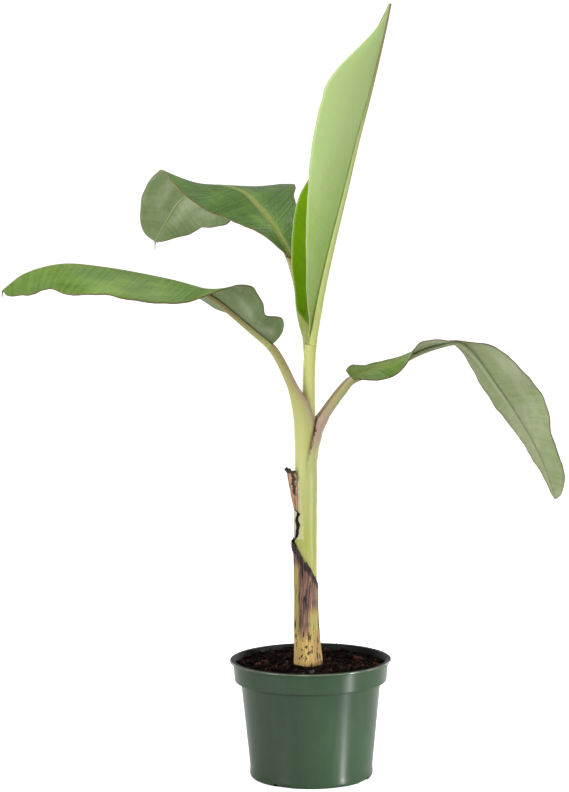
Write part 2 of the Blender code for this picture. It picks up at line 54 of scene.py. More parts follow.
camera = bpy.data.objects.new("camera", bpy.data.cameras.new("camera"))
scene.collection.objects.link(camera)
camera.data.lens = CAMERA_LENS
camera.data.sensor_width = CAMERA_SENSOR
camera.data.clip_end = CAMERA_SIGHT
camera.location = CAMERA_PLACE
camera.rotation_euler = (Matrix.Rotation(radians(90 - CAMERA_DOWN), 4, "X")
                         @ Matrix.Rotation(radians(CAMERA_ROLL), 4, "Z")).to_euler()
scene.camera = camera


# Studio: a roll of white paper that sweeps up far behind the plant, in a white room. Soft
# boxes light it from the left, above and behind, and a small gridded strip, low at the
# right, draws the tall highlight on the pot.
PAPER_WIDTH = 26.0
PAPER_FRONT = -12.0
PAPER_BEND_START = 8.0
PAPER_BEND_RADIUS = 2.4
PAPER_BEND_STEPS = 24
PAPER_TOP = 7.0
PAPER_GLOW = 0.80       # burns the paper out to a clean white, as a lit product table does
ROOM_LIGHT = 0.50


def placed(name, body):
    """An object of the scene, made from a finished bmesh."""
    mesh = bpy.data.meshes.new(name)
    body.to_mesh(mesh)
    body.free()
    made = bpy.data.objects.new(name, mesh)
    scene.collection.objects.link(made)
    return made


def feed(socket, value):
    """Links an input to another socket, or sets it to a plain value."""
    if isinstance(value, bpy.types.NodeSocket):
        socket.id_data.links.new(value, socket)
    else:
        socket.default_value = value


def node(tree, kind, inputs=None, **settings):
    """A shader node with its settings and what feeds its inputs."""
    made = tree.nodes.new(kind)
    for key, value in settings.items():
        setattr(made, key, value)
    for key, value in (inputs or {}).items():
        feed(made.inputs[key], value)
    return made


def grain(place, scale, detail=2.0, roughness=0.5):
    """A noise over a place, about a half."""
    return node(place.id_data, "ShaderNodeTexNoise", {
        "Vector": place, "Scale": scale, "Detail": detail, "Roughness": roughness}).outputs["Fac"]


def new_material(name, values):
    """A material with these values on its Principled shader."""
    made = bpy.data.materials.new(name)
    made.use_nodes = True
    shader = made.node_tree.nodes["Principled BSDF"]
    for key, value in values.items():
        shader.inputs[key].default_value = value
    return made, shader


def object_place(shader):
    """Where the surface is, in metres on its object."""
    return node(shader.id_data, "ShaderNodeTexCoord").outputs["Object"]


def dress(shader, colour, height, strength, depth):
    """Gives a shader its colour, and a relief from a height."""
    feed(shader.inputs["Base Color"], colour)
    bump = node(shader.id_data, "ShaderNodeBump", {"Height": height, "Strength": strength,
                                                   "Distance": depth})
    feed(shader.inputs["Normal"], bump.outputs["Normal"])


paper = bmesh.new()
side = [(PAPER_FRONT, 0), (PAPER_BEND_START, 0)]
for step in range(1, PAPER_BEND_STEPS + 1):
    turn = pi / 2 * step / PAPER_BEND_STEPS
    side.append((PAPER_BEND_START + PAPER_BEND_RADIUS * sin(turn), PAPER_BEND_RADIUS * (1 - cos(turn))))
side.append((PAPER_BEND_START + PAPER_BEND_RADIUS, PAPER_TOP))
line = [paper.verts.new((-PAPER_WIDTH / 2, y, z)) for y, z in side]
edges = [paper.edges.new(pair) for pair in zip(line[:-1], line[1:])]
swept = bmesh.ops.extrude_edge_only(paper, edges=edges)["geom"]
bmesh.ops.translate(paper, vec=(PAPER_WIDTH, 0, 0),
                    verts=[part for part in swept if isinstance(part, bmesh.types.BMVert)])
bmesh.ops.recalc_face_normals(paper, faces=paper.faces)
paper_sweep = placed("paper_sweep", paper)
paper_sweep.data.shade_smooth()
white_paper, shader = new_material("white_paper", {"Roughness": 0.9, "Emission Color": (1, 1, 1, 1)})
seen = node(shader.id_data, "ShaderNodeLightPath").outputs["Is Camera Ray"]
glow = node(shader.id_data, "ShaderNodeMath", {0: seen, 1: PAPER_GLOW}, operation="MULTIPLY")
feed(shader.inputs["Emission Strength"], glow.outputs["Value"])
dress(shader, (0.80, 0.80, 0.80, 1), grain(object_place(shader), 900.0), 0.05, 0.0005)
paper_sweep.data.materials.append(white_paper)

scene.world = bpy.data.worlds.new("white_room")
scene.world.use_nodes = True
room = scene.world.node_tree.nodes["Background"]
room.inputs["Color"].default_value = (1, 1, 1, 1)
room.inputs["Strength"].default_value = ROOM_LIGHT
scene.view_settings.view_transform = "Standard"


def soft_box(name, place, aim, size, power, spread=180):
    """A rectangular light aimed at a place. A small spread stands for a grid on it."""
    lamp = bpy.data.lights.new(name, "AREA")
    lamp.shape = "RECTANGLE"
    lamp.size, lamp.size_y = size
    lamp.energy = power
    lamp.spread = radians(spread)
    made = bpy.data.objects.new(name, lamp)
    scene.collection.objects.link(made)
    made.location = place
    made.rotation_euler = (Vector(place) - Vector(aim)).to_track_quat("Z", "Y").to_euler()


soft_box("tall_soft_box", (1.72, -1.05, 0.17), (0, 0, 0.06), (0.13, 0.30), 0.44, 14)
soft_box("wide_soft_box", (-2.0, -1.5, 0.9), (0, 0, 0.4), (1.4, 1.6), 36)
soft_box("top_soft_box", (0.2, -0.3, 2.6), (0, 0.1, 0.3), (1.6, 1.6), 28)
soft_box("left_edge_box", (-1.15, 1.6, 0.6), (0, 0, 0.2), (0.8, 1.2), 6)
soft_box("right_edge_box", (1.15, 1.6, 0.5), (0, 0, 0.1), (0.8, 1.0), 12)


# Pot: a thin round nursery pot, moulded in one piece from dark green plastic. It has a
# turned-out lip, a collar, a tapered body and a flat foot with four drain notches.
POT_HEIGHT = 0.122
LIP_RADIUS = 0.0825
LIP_DEPTH = 0.0024
LIP_ROUND = 0.0009
INNER_LIP_ROUND = 0.0006
COLLAR_TOP_RADIUS = 0.0794
COLLAR_FOOT_RADIUS = 0.0778
COLLAR_FOOT_HEIGHT = 0.1000
COLLAR_ROUND = 0.0012
BODY_TOP_RADIUS = 0.0714
BODY_TOP_HEIGHT = 0.0982
BODY_FOOT_RADIUS = 0.0624
FOOT_BULGE = 0.0006
FOOT_BULGE_HEIGHTS = (0.0075, 0.012)
FOOT_CORNER = 0.0040
FOOT_RING = 0.0085
FOOT_RECESS = 0.0007
GATE_RADII = (0.005, 0.007)     # of the mould's gate mark under the floor
GATE_RECESS = 0.0003
POT_WALL = 0.0018
POT_FLOOR = 0.0022
FLOOR_ROUND = 0.003
POT_STEPS = 144
NOTCH_LENGTH = 0.020
NOTCH_HEIGHT = 0.0038
NOTCH_DEPTH = 0.0045
NOTCH_ROUND = 0.0015
NOTCH_ANGLES = (-119, -29, 61, 151)


def arc(centre, radius, start, end, steps=5):
    """Points of an arc in the plane of a profile, by its angles in degrees."""
    turns = [radians(start + (end - start) * k / steps) for k in range(steps + 1)]
    return [(centre[0] + radius * cos(turn), centre[1] + radius * sin(turn)) for turn in turns]


def turned(profile, steps):
    """A closed body: a profile of radius and height, from axis to axis, spun full circle."""
    body = bmesh.new()
    line = [body.verts.new((r, 0, z)) for r, z in profile]
    edges = [body.edges.new(pair) for pair in zip(line[:-1], line[1:])]
    bmesh.ops.spin(body, geom=line + edges, angle=2 * pi, steps=steps, axis=(0, 0, 1), cent=(0, 0, 0),
                   use_merge=True)
    bmesh.ops.remove_doubles(body, verts=body.verts, dist=0.00001)
    bmesh.ops.recalc_face_normals(body, faces=body.faces)
    return body


def add_piece(name, body, nodes, finishes, sharp=40):
    """Turns a finished bmesh into a piece of the plant that stands for CAD nodes."""
    made = placed(name, body)
    made.data.shade_smooth()
    made.data.set_sharp_from_angle(angle=radians(sharp))
    for finish in finishes:
        made.data.materials.append(finish)
    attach(made, "root")
    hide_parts(*nodes)
    return made


def applied(made):
    """The mesh of an object with its modifiers applied."""
    bpy.context.view_layer.update()
    return bpy.data.meshes.new_from_object(made.evaluated_get(bpy.context.evaluated_depsgraph_get()))


def ramp(factor, *stops):
    """A colour ramp: each stop is a place and a colour."""
    made = node(factor.id_data, "ShaderNodeValToRGB", {"Fac": factor})
    for number, (place, colour) in enumerate(stops):
        if number > 1:
            made.color_ramp.elements.new(place)
        stop = made.color_ramp.elements[number]
        stop.position = place
        stop.color = (*colour, 1)
    return made.outputs["Color"]


def mix(factor, first, second):
    """Mixes two colours by a mask. Each is a socket, a plain colour or a grey."""
    made = node(factor.id_data, "ShaderNodeMix", data_type="RGBA")
    feed(made.inputs[0], factor)
    for socket, value in ((made.inputs[6], first), (made.inputs[7], second)):
        if isinstance(value, float):
            value = (value,) * 3
        feed(socket, (*value, 1) if isinstance(value, tuple) else value)
    return made.outputs[2]


def layered(colour, *layers):
    """Colours laid over a first one in turn, each as (mask, colour)."""
    for mask, over in layers:
        colour = mix(mask, colour, over)
    return colour


def maths(way, first, second=0.0):
    """The result of a Math node on sockets or plain numbers."""
    given = first if isinstance(first, bpy.types.NodeSocket) else second
    return node(given.id_data, "ShaderNodeMath", {0: first, 1: second}, operation=way).outputs[0]


def between(value, low, high):
    """0 below low, 1 above high, and a smooth climb between them; low may be the greater."""
    return node(value.id_data, "ShaderNodeMapRange", {
        "Value": value, "From Min": low, "From Max": high},
        interpolation_type="SMOOTHSTEP").outputs["Result"]


def spread_over(value, low, high):
    """A value from 0 to 1, turned into one from low to high."""
    return node(value.id_data, "ShaderNodeMapRange", {
        "Value": value, "To Min": low, "To Max": high}).outputs["Result"]


def new_group(name, inputs, outputs):
    """An empty node group: its tree, its inputs and its outputs."""
    group = bpy.data.node_groups.new(name, "ShaderNodeTree")
    for way, sockets in (("INPUT", inputs), ("OUTPUT", outputs)):
        for key, kind in sockets.items():
            group.interface.new_socket(key, in_out=way, socket_type="NodeSocket" + kind)
    return (group, group.nodes.new("NodeGroupInput").outputs,
            group.nodes.new("NodeGroupOutput").inputs)


def patches_group():
    """Cloudy patches with soft edges: how much of them, from 0 to 1."""
    group, given, result = new_group("patches", {
        "Vector": "Vector", "Scale": "Float", "Cover": "Float", "Softness": "Float"},
        {"Mask": "Float"})
    low = maths("SUBTRACT", 1.0, given["Cover"])
    cloud = grain(given["Vector"], given["Scale"], 5.0, 0.6)
    feed(result["Mask"], between(cloud, low, maths("ADD", low, given["Softness"])))
    return group


PATCHES = patches_group()


def stretched(place, scale):
    """The same place, drawn out along its axes so that a pattern on it turns into streaks."""
    return node(place.id_data, "ShaderNodeMapping", {"Vector": place, "Scale": scale}).outputs["Vector"]


def patches(place, scale, cover, softness, stretch=None):
    """Patches over a place, drawn out if a stretch is given."""
    return node(place.id_data, "ShaderNodeGroup", {
        "Vector": stretched(place, stretch) if stretch else place, "Scale": scale, "Cover": cover,
        "Softness": softness}, node_tree=PATCHES).outputs["Mask"]


def product(first, *others):
    """Masks or numbers multiplied together."""
    for other in others:
        first = maths("MULTIPLY", first, other)
    return first


def parts_of(vector):
    """The three numbers of a vector."""
    return node(vector.id_data, "ShaderNodeSeparateXYZ", {"Vector": vector}).outputs


def pot_plastic():
    """Dark green satin plastic with faint drifts in its colour, a painted highlight along the outer
    top edge of the lip in front, a band of painted shade under the collar, and near black
    paint inside the rim and along the top of its back edge."""
    made, shader = new_material("pot_plastic", {"Roughness": 0.32, "Specular IOR Level": 0.36,
                                                "Anisotropic": 0.8, "Anisotropic Rotation": 0.25})
    place = object_place(shader)
    x, y, height = parts_of(place)
    flat = node(shader.id_data, "ShaderNodeVectorMath", {0: place, 1: (1, 1, 0)}, operation="MULTIPLY")
    reach = node(shader.id_data, "ShaderNodeVectorMath", {0: flat.outputs["Vector"]},
                 operation="LENGTH").outputs["Value"]
    runs = patches(place, 90.0, 0.52, 0.35, (1, 1, 0.12))
    stain = patches(place, 140.0, 0.62, 0.3)
    # the inner wall above the soil, the top of the lip and the top of its back edge are painted near
    # black
    inside = product(between(reach, inner_lip + 0.0009, inner_lip + 0.0004),
                     between(height, 0.110, 0.114))
    top = product(between(reach, LIP_RADIUS - 0.0008, LIP_RADIUS - 0.0014),
                  between(height, POT_HEIGHT - 0.0006, POT_HEIGHT - 0.0003))
    inside = maths("MAXIMUM", inside, product(top, 0.85))
    behind = product(between(y, -0.030, 0.030),
                     between(height, POT_HEIGHT - 0.0012, POT_HEIGHT - 0.0005))
    darkened_rim = maths("MAXIMUM", product(inside, 0.95),
                   product(behind, maths("ADD", 0.45, product(stain, 0.5))))
    # painted highlight: the outer top edge of the lip, in front, is drawn pale as a line of light
    lip_highlight = product(between(reach, LIP_RADIUS - 0.0008, LIP_RADIUS - 0.0003),
                     between(height, POT_HEIGHT - 0.0014, POT_HEIGHT - 0.0008),
                     between(y, 0.020, -0.045),
                     maths("ADD", 0.15, product(patches(place, 60.0, 0.6, 0.3), 0.35)))
    # painted shade: a dark band where the collar steps in to the body, under the collar
    meeting_line = product(between(height, COLLAR_FOOT_HEIGHT + 0.0014, COLLAR_FOOT_HEIGHT - 0.0004),
                   between(height, BODY_TOP_HEIGHT - 0.0008, BODY_TOP_HEIGHT + 0.0004))
    colour = mix(patches(place, 18.0, 0.62, 0.5), (0.025, 0.051, 0.024), (0.032, 0.064, 0.031))
    colour = layered(colour, (product(runs, 0.05), (0.24, 0.24, 0.19)), (darkened_rim, (0.005, 0.005, 0.004)),
                     (lip_highlight, (0.40, 0.38, 0.31)), (product(meeting_line, 0.6), (0.010, 0.016, 0.010)))
    feed(shader.inputs["Roughness"], mix(darkened_rim, spread_over(runs, 0.29, 0.35), 0.85))
    dress(shader, colour, grain(stretched(place, (1, 1, 0.3)), 700.0), 0.12, 0.0001)
    return made


foot = BODY_FOOT_RADIUS + FOOT_BULGE
inner_foot = BODY_FOOT_RADIUS - POT_WALL
inner_lip = COLLAR_TOP_RADIUS - POT_WALL
pot_profile = [
    (0, POT_FLOOR), (inner_foot - FLOOR_ROUND, POT_FLOOR),
    *arc((inner_foot - FLOOR_ROUND, POT_FLOOR + FLOOR_ROUND), FLOOR_ROUND, -90, 0),
    (BODY_TOP_RADIUS - POT_WALL, BODY_TOP_HEIGHT + POT_WALL),
    (COLLAR_FOOT_RADIUS - POT_WALL, COLLAR_FOOT_HEIGHT + POT_WALL),
    (inner_lip, POT_HEIGHT - 0.0008),
    *arc((inner_lip + INNER_LIP_ROUND, POT_HEIGHT - INNER_LIP_ROUND), INNER_LIP_ROUND, 180, 90, 3),
    *arc((LIP_RADIUS - LIP_ROUND, POT_HEIGHT - LIP_ROUND), LIP_ROUND, 90, 0),
    *arc((LIP_RADIUS - LIP_ROUND, POT_HEIGHT - LIP_DEPTH + LIP_ROUND), LIP_ROUND, 0, -80),
    (COLLAR_TOP_RADIUS + 0.0004, POT_HEIGHT - LIP_DEPTH - 0.0001),
    (COLLAR_TOP_RADIUS, POT_HEIGHT - LIP_DEPTH - 0.0006),
    *arc((COLLAR_FOOT_RADIUS - COLLAR_ROUND, COLLAR_FOOT_HEIGHT + COLLAR_ROUND), COLLAR_ROUND, 3, -84),
    (BODY_TOP_RADIUS + COLLAR_ROUND, BODY_TOP_HEIGHT + COLLAR_ROUND),
    *arc((BODY_TOP_RADIUS + COLLAR_ROUND, BODY_TOP_HEIGHT), COLLAR_ROUND, 90, 175, 4),
    (BODY_FOOT_RADIUS + 0.0004, FOOT_BULGE_HEIGHTS[1]), (foot, FOOT_BULGE_HEIGHTS[0]),
    *arc((foot - FOOT_CORNER, FOOT_CORNER), FOOT_CORNER, 0, -90, 8),
    (foot - FOOT_RING, 0), (foot - FOOT_RING - 0.0008, FOOT_RECESS),
    (GATE_RADII[1], FOOT_RECESS), (GATE_RADII[0], GATE_RECESS), (0, GATE_RECESS)]
pot = add_piece("nursery_pot", turned(pot_profile, POT_STEPS), ["pot"],
                [pot_plastic()], 30)
for angle in NOTCH_ANGLES:
    notch = bmesh.new()
    bmesh.ops.create_cube(notch, size=1)
    bmesh.ops.scale(notch, vec=(2 * NOTCH_DEPTH, NOTCH_LENGTH, 2 * NOTCH_HEIGHT), verts=notch.verts)
    ends = [edge for edge in notch.edges if abs(edge.verts[0].co.x - edge.verts[1].co.x) > NOTCH_DEPTH]
    bmesh.ops.bevel(notch, geom=ends, offset=NOTCH_ROUND, segments=4, profile=0.5, affect="EDGES",
                    material=-1)
    turn = Matrix.Rotation(radians(angle), 3, "Z")
    bmesh.ops.rotate(notch, matrix=turn, verts=notch.verts)
    bmesh.ops.translate(notch, vec=turn @ Vector((foot, 0, 0)), verts=notch.verts)
    cutter = placed("notch", notch)
    cut = pot.modifiers.new("notch", "BOOLEAN")
    cut.operation = "DIFFERENCE"
    cut.solver = "EXACT"
    cut.object = cutter
    carved = applied(pot)
    pot.modifiers.clear()
    pot.data = carved
    bpy.data.objects.remove(cutter)
pot.data.set_sharp_from_angle(angle=radians(30))


# Soil: a moist, near-black mix of peat and composted bark that fills the pot to just
# under its lip. Chips of reddish bark, grey grit and loose crumbs lie on top of it.
SOIL_TOP = 0.1165
SOIL_SWELL = 0.0016
SOIL_LUMPS = 0.0016
SOIL_CLEARANCE = 0.0003
SEAT_RADIUS = 0.026
SEAT_BLEND = 0.008
SOIL_RINGS = 60
CHIP_COUNT = 460
CRUMB_COUNT = 1500
RIM_CRUMBS = 26
RIM_CRUMB_TURNS = (188, 150, 352, 60)       # where loose crumbs gather on the rim
NEAREST_CRUMB = 0.62        # of the seat's radius
CRUMBS_TO_EDGE = 0.62       # below 1 crowds the crumbs outwards
EDGE_GAP = 0.0035


def held(value):
    """A value kept between 0 and 1."""
    return np.clip(value, 0, 1)


def soil_height(x, y):
    """Height of the soil: level where the plant stands, swelling and crumbly around it."""
    reach = (x * x + y * y) ** 0.5
    away = held((reach - SEAT_RADIUS) / SEAT_BLEND)
    swell = SOIL_SWELL * (sin(90 * x + 1.0) * cos(110 * y + 0.5) + 0.4 * sin(260 * x + 170 * y))
    lumps = SOIL_LUMPS * noise.fractal(Vector((x, y, 0)) * 90, 0.9, 2.0, 4)
    return SOIL_TOP + away * swell + lumps * (0.25 + 0.75 * away)


def soil_mix():
    """Near-black peat, wet in the hollows, with brown fibres and a scatter of pale specks."""
    made, shader = new_material("soil_mix", {"Roughness": 0.95, "Specular IOR Level": 0.04})
    place = object_place(shader)
    colour = mix(patches(place, 160.0, 0.55, 0.2), (0.0030, 0.0020, 0.0018), (0.011, 0.0058, 0.0045))
    colour = layered(colour, (patches(place, 420.0, 0.40, 0.08), (0.026, 0.011, 0.008)),
                     (patches(place, 900.0, 0.26, 0.05), (0.05, 0.04, 0.034)))
    dress(shader, colour, grain(place, 650.0, 6.0), 0.9, 0.0012)
    return made


def crumb_finish(name, dark, light, roughness):
    """One kind of loose bit: two tones of its colour in a fine grain."""
    made, shader = new_material(name, {"Roughness": roughness, "Specular IOR Level": 0.05})
    feed(shader.inputs["Base Color"], mix(patches(object_place(shader), 500.0, 0.5, 0.2), dark, light))
    return made


def scatter(body, seed, count, size, flat, kinds, shape, where):
    """Loose bits on the soil: small jittered shapes, each turned, sized and tinted by chance.
    The red ones lie mostly at the right, and a few at the left in front."""
    chance = random.Random(seed)
    for _ in range(count):
        if shape == "chip":
            made = bmesh.ops.create_cube(body, size=1)["verts"]
        else:
            made = bmesh.ops.create_icosphere(body, subdivisions=1, radius=0.6)["verts"]
        length = size * chance.uniform(0.45, 1.5)
        for vert in made:
            vert.co += Vector([chance.uniform(-0.2, 0.2) for _ in range(3)])
        sides = (length, length * chance.uniform(0.35, 0.8), length * flat)
        bmesh.ops.scale(body, vec=sides, verts=made)
        tip = Matrix.Rotation(chance.uniform(-0.6, 0.6), 3, "X")
        tip = tip @ Matrix.Rotation(chance.uniform(-0.5, 0.5), 3, "Y")
        turn = Matrix.Rotation(chance.uniform(0, 2 * pi), 3, "Z") @ tip
        bmesh.ops.rotate(body, matrix=turn, verts=made)
        spot = where(chance, length)
        bmesh.ops.translate(body, vec=spot, verts=made)
        red = 7 if spot[0] > 0.045 and spot[1] < 0.02 else 3 if spot[0] < -0.030 and spot[1] < 0 else 1
        tint = chance.choices(range(len(kinds)), (kinds[0] * red, *kinds[1:]))[0]
        for face in {face for vert in made for face in vert.link_faces}:
            face.material_index = tint


def on_soil(chance, length):
    nearest = SEAT_RADIUS * NEAREST_CRUMB
    reach = nearest + (inner_lip - EDGE_GAP - nearest) * chance.random() ** CRUMBS_TO_EDGE
    turn = chance.uniform(0, 2 * pi)
    x, y = reach * cos(turn), reach * sin(turn)
    return x, y, soil_height(x, y) + 0.12 * length


def on_rim(chance, length):
    turn = radians(chance.choice(RIM_CRUMB_TURNS)) + chance.gauss(0, 0.3)
    reach = inner_lip + chance.uniform(0.0012, 0.0036)
    return reach * cos(turn), reach * sin(turn), POT_HEIGHT - 0.00025


wall = POT_WALL + SOIL_CLEARANCE
soil_edge = inner_lip - SOIL_CLEARANCE - 0.0012
soil = turned([
    *[(soil_edge * k / SOIL_RINGS, SOIL_TOP) for k in range(SOIL_RINGS + 1)],
    (COLLAR_FOOT_RADIUS - wall - 0.0004, COLLAR_FOOT_HEIGHT + wall + 0.0004),
    (BODY_TOP_RADIUS - wall, BODY_TOP_HEIGHT + wall),
    (BODY_FOOT_RADIUS - wall, POT_FLOOR + FLOOR_ROUND + 0.0004),
    (BODY_FOOT_RADIUS - wall - FLOOR_ROUND - 0.0002, POT_FLOOR + SOIL_CLEARANCE),
    (0, POT_FLOOR + SOIL_CLEARANCE)], POT_STEPS)
for vert in soil.verts:
    if vert.co.z > SOIL_TOP - 0.0005:
        vert.co.z = soil_height(vert.co.x, vert.co.y)
add_piece("soil_plug", soil, ["soil"], [soil_mix()], 180)

BITS = [crumb_finish("red_bark", (0.040, 0.012, 0.008), (0.120, 0.035, 0.022), 0.75),
        crumb_finish("brown_bark", (0.012, 0.005, 0.004), (0.036, 0.015, 0.010), 0.8),
        crumb_finish("dark_peat", (0.003, 0.0018, 0.0016), (0.009, 0.0045, 0.0038), 0.85),
        crumb_finish("grey_grit", (0.05, 0.045, 0.04), (0.13, 0.12, 0.11), 0.7)]
bits = bmesh.new()
scatter(bits, 11, CHIP_COUNT, 0.0052, 0.32, (0.07, 0.40, 0.50, 0.015), "chip", on_soil)
scatter(bits, 12, CRUMB_COUNT, 0.0020, 0.75, (0.02, 0.22, 0.70, 0.02), "crumb", on_soil)
scatter(bits, 13, RIM_CRUMBS, 0.0012, 0.6, (0, 0.3, 0.7, 0), "crumb", on_rim)
add_piece("bark_and_crumbs", bits, ["soil"], BITS, 25)


# Pseudostem: no wood, but leaf sheaths rolled tightly round each other into a smooth
# column, pale yellow-green, with the stalk of the newest leaf running out of its top.
STEM_ROUTE = ((-0.0018, 0.0, 0.108), (-0.0028, 0.0, 0.130), (-0.0038, 0.0, 0.160),
              (-0.0042, 0.0, 0.205), (-0.0038, 0.0, 0.255), (-0.0032, 0.0, 0.306),
              (-0.0030, 0.0, 0.337), (-0.0012, 0.0, 0.363), (0.0000, 0.0, 0.388),
              (0.0010, 0.0, 0.419))
STEM_RADII = (0.0149, 0.0134, 0.0122, 0.0114, 0.0116, 0.0117, 0.0110, 0.0080, 0.0065,
              0.0064, 0.0060)
RIB_TIP_RADIUS = 0.0012
UPRIGHT_LEAF = dict(
    rib=((0.003, 0.0, 0.444), (0.008, 0.004, 0.471), (0.016, 0.008, 0.509),
         (0.027, 0.012, 0.554), (0.039, 0.014, 0.600), (0.051, 0.014, 0.648),
         (0.063, 0.012, 0.692), (0.073, 0.008, 0.732), (0.080, 0.004, 0.762),
         (0.085, 0.0, 0.786)),
    face=(-1.0, -0.1, 0.2), hand=-1, rib_radius=0.0060,
    folds=((0.00, -25, 0, 95, 60), (0.045, 0, 0, 108, 90), (0.08, 20, 5, 88, 60),
           (0.12, 38, 10, 68, 40), (0.20, 50, 25, 66, 40), (0.30, 60, 40, 58, 35),
           (0.40, 64, 44, 50, 28), (0.47, 66, 45, 36, 25), (0.54, 67, 45, 28, 22),
           (0.70, 66, 40, 40, 20), (1.00, 60, 30, 60, 30)),
    near=(0.050, 0.72, 1.15, 2.00), far=(0.050, 0.48, 1.10, 1.30),
    near_lobes=(), far_lobes=(), near_ripple=(0.0008, 4, 0.5), far_ripple=(0.0008, 4, 0.3),
    flare=(0.08, 0.045), frayed=0.0004, ear=0.0)
SHEATH_STEP = 0.00045
SHEATH_MARGINS = ((262, -230, 0.315, 0.262), (48, 160, 0.330, 0.150), (150, -120, 0.300, 0.140),
                  (318, 60, 0.345, 0.200))      # degrees, degrees per metre, top and foot height
MARGIN_FADES = (0.02, 0.05)     # height over which a margin fades out, at its top and foot
MARGIN_TAPER = 1.9      # radians over which a sheath thins out behind its margin
CURVE_STEPS = 900       # that a curve's length is measured by
STEM_ROWS = 260
STEM_AROUND = 96
STEM_RAMP = 0.5         # metres of height that the stem's colours are spread over
STEM_CHANNEL = 0.85     # its depth in radii
STEM_CHANNEL_HEIGHTS = (0.395, 0.425)       # where it opens
STEM_CHANNEL_TURN = 0.6
STEM_CHANNEL_CURVE = 2.6
FULL_RELIEF_RADIUS = 0.010


def along(points, start, end, shares):
    """Points at even shares of the length of a smooth curve, from knot start to knot end."""
    knots = np.array(points, dtype=float)
    padded = np.vstack([2 * knots[0] - knots[1], knots, 2 * knots[-1] - knots[-2]])
    fine = np.linspace(start, end, CURVE_STEPS)
    knot = np.clip(fine.astype(int), 0, len(knots) - 2)
    t = (fine - knot)[:, None]
    a, b, c, d = (padded[knot + step] for step in range(4))
    curve = 0.5 * (2 * b + (c - a) * t + (2 * a - 5 * b + 4 * c - d) * t ** 2
                   + (3 * b - a - 3 * c + d) * t ** 3)
    run = np.concatenate([[0], np.cumsum(np.linalg.norm(np.diff(curve, axis=0), axis=1))])
    wanted = np.asarray(shares) * run[-1]
    return np.stack([np.interp(wanted, run, curve[:, axis]) for axis in range(3)], axis=1), run[-1]


def rib_frames(line, face):
    """Tangents along a line, and the upper side's direction carried along without twist."""
    tangent = np.gradient(line, axis=0)
    tangent /= np.linalg.norm(tangent, axis=1)[:, None]
    upper = [Vector(face)]
    upper[0] -= Vector(tangent[0]) * upper[0].dot(Vector(tangent[0]))
    upper[0].normalize()
    for before, after in zip(tangent[:-1], tangent[1:]):
        turn = Vector(before).rotation_difference(Vector(after))
        carried = turn @ upper[-1]
        carried -= Vector(after) * carried.dot(Vector(after))
        upper.append(carried.normalized())
    return tangent, np.array(upper)


def limb_frames(route, leaf, shares):
    """A limb's line up to its leaf, its frames, which match the leaf's, its knots and length."""
    points = [*route, leaf["rib"][0], leaf["rib"][1]]
    line, length = along(points, 0, len(route), shares)
    start, _ = along([*route[-2:], *leaf["rib"]], 2, len(leaf["rib"]) + 1, np.linspace(0, 1, 300))
    base_upper = rib_frames(start, leaf["face"])[1][0]
    tangent, upper = rib_frames(line[::-1], base_upper)
    lengths = [along(points, 0, k, (0, 1))[1] if k else 0.0 for k in range(len(route) + 1)]
    return line, -tangent[::-1], upper[::-1], np.array(lengths) / length, length


def skin(points, lay, span, closed=False):
    """A grid laid on an array of points. "lay" marks each point in metres across, from the
    margin and along; "span" marks it in shares along, from the rib and across."""
    rows, columns = points.shape[0] - 1, points.shape[1] - 1
    body = bmesh.new()
    bmesh.ops.create_grid(body, x_segments=rows, y_segments=columns, size=1)
    lay_layer = body.verts.layers.float_vector.new("lay")
    span_layer = body.verts.layers.float_vector.new("span")
    for vert in body.verts:
        row, column = round((vert.co.x + 1) / 2 * rows), round((vert.co.y + 1) / 2 * columns)
        vert.co = points[row, column]
        vert[lay_layer] = Vector(lay[row, column])
        vert[span_layer] = Vector(span[row, column])
    if closed:
        bmesh.ops.remove_doubles(body, verts=body.verts, dist=0.000002)
        bmesh.ops.holes_fill(body, edges=[edge for edge in body.edges if edge.is_boundary])
        bmesh.ops.recalc_face_normals(body, faces=body.faces)
    return body


def marks(shader):
    """A piece's marks: lay, its numbers from the margin and along, and the three of span."""
    lay, span = (node(shader.id_data, "ShaderNodeAttribute", attribute_name=name).outputs["Vector"]
                 for name in ("lay", "span"))
    _, rim, z = parts_of(lay)
    return SimpleNamespace(lay=lay, rim=rim, z=z, span=parts_of(span))


def sheath_green(colour, lay, streaks=0.30):
    """Lengthwise streaks, pale and deep, over a sheath's own green. Gives the fine ones too."""
    wide = patches(lay, 260.0, 0.55, 0.5, (1, 1, 0.06))
    fine = patches(lay, 900.0, 0.50, 0.4, (1, 1, 0.03))
    return layered(colour, (product(wide, streaks), (0.70, 0.74, 0.38)),
                   (product(fine, 0.20), (0.30, 0.38, 0.07))), fine


def stem_greens(height):
    """The stem's own colour by height: tan at the foot, then green, then pale and yellowish."""
    return ramp(maths("DIVIDE", height, STEM_RAMP),
                (0.22, (0.46, 0.31, 0.12)), (0.32, (0.42, 0.31, 0.09)), (0.42, (0.34, 0.32, 0.07)),
                (0.50, (0.34, 0.37, 0.085)), (0.62, (0.46, 0.48, 0.17)), (0.74, (0.60, 0.62, 0.22)),
                (0.82, (0.72, 0.76, 0.25)), (0.90, (0.68, 0.72, 0.22)))


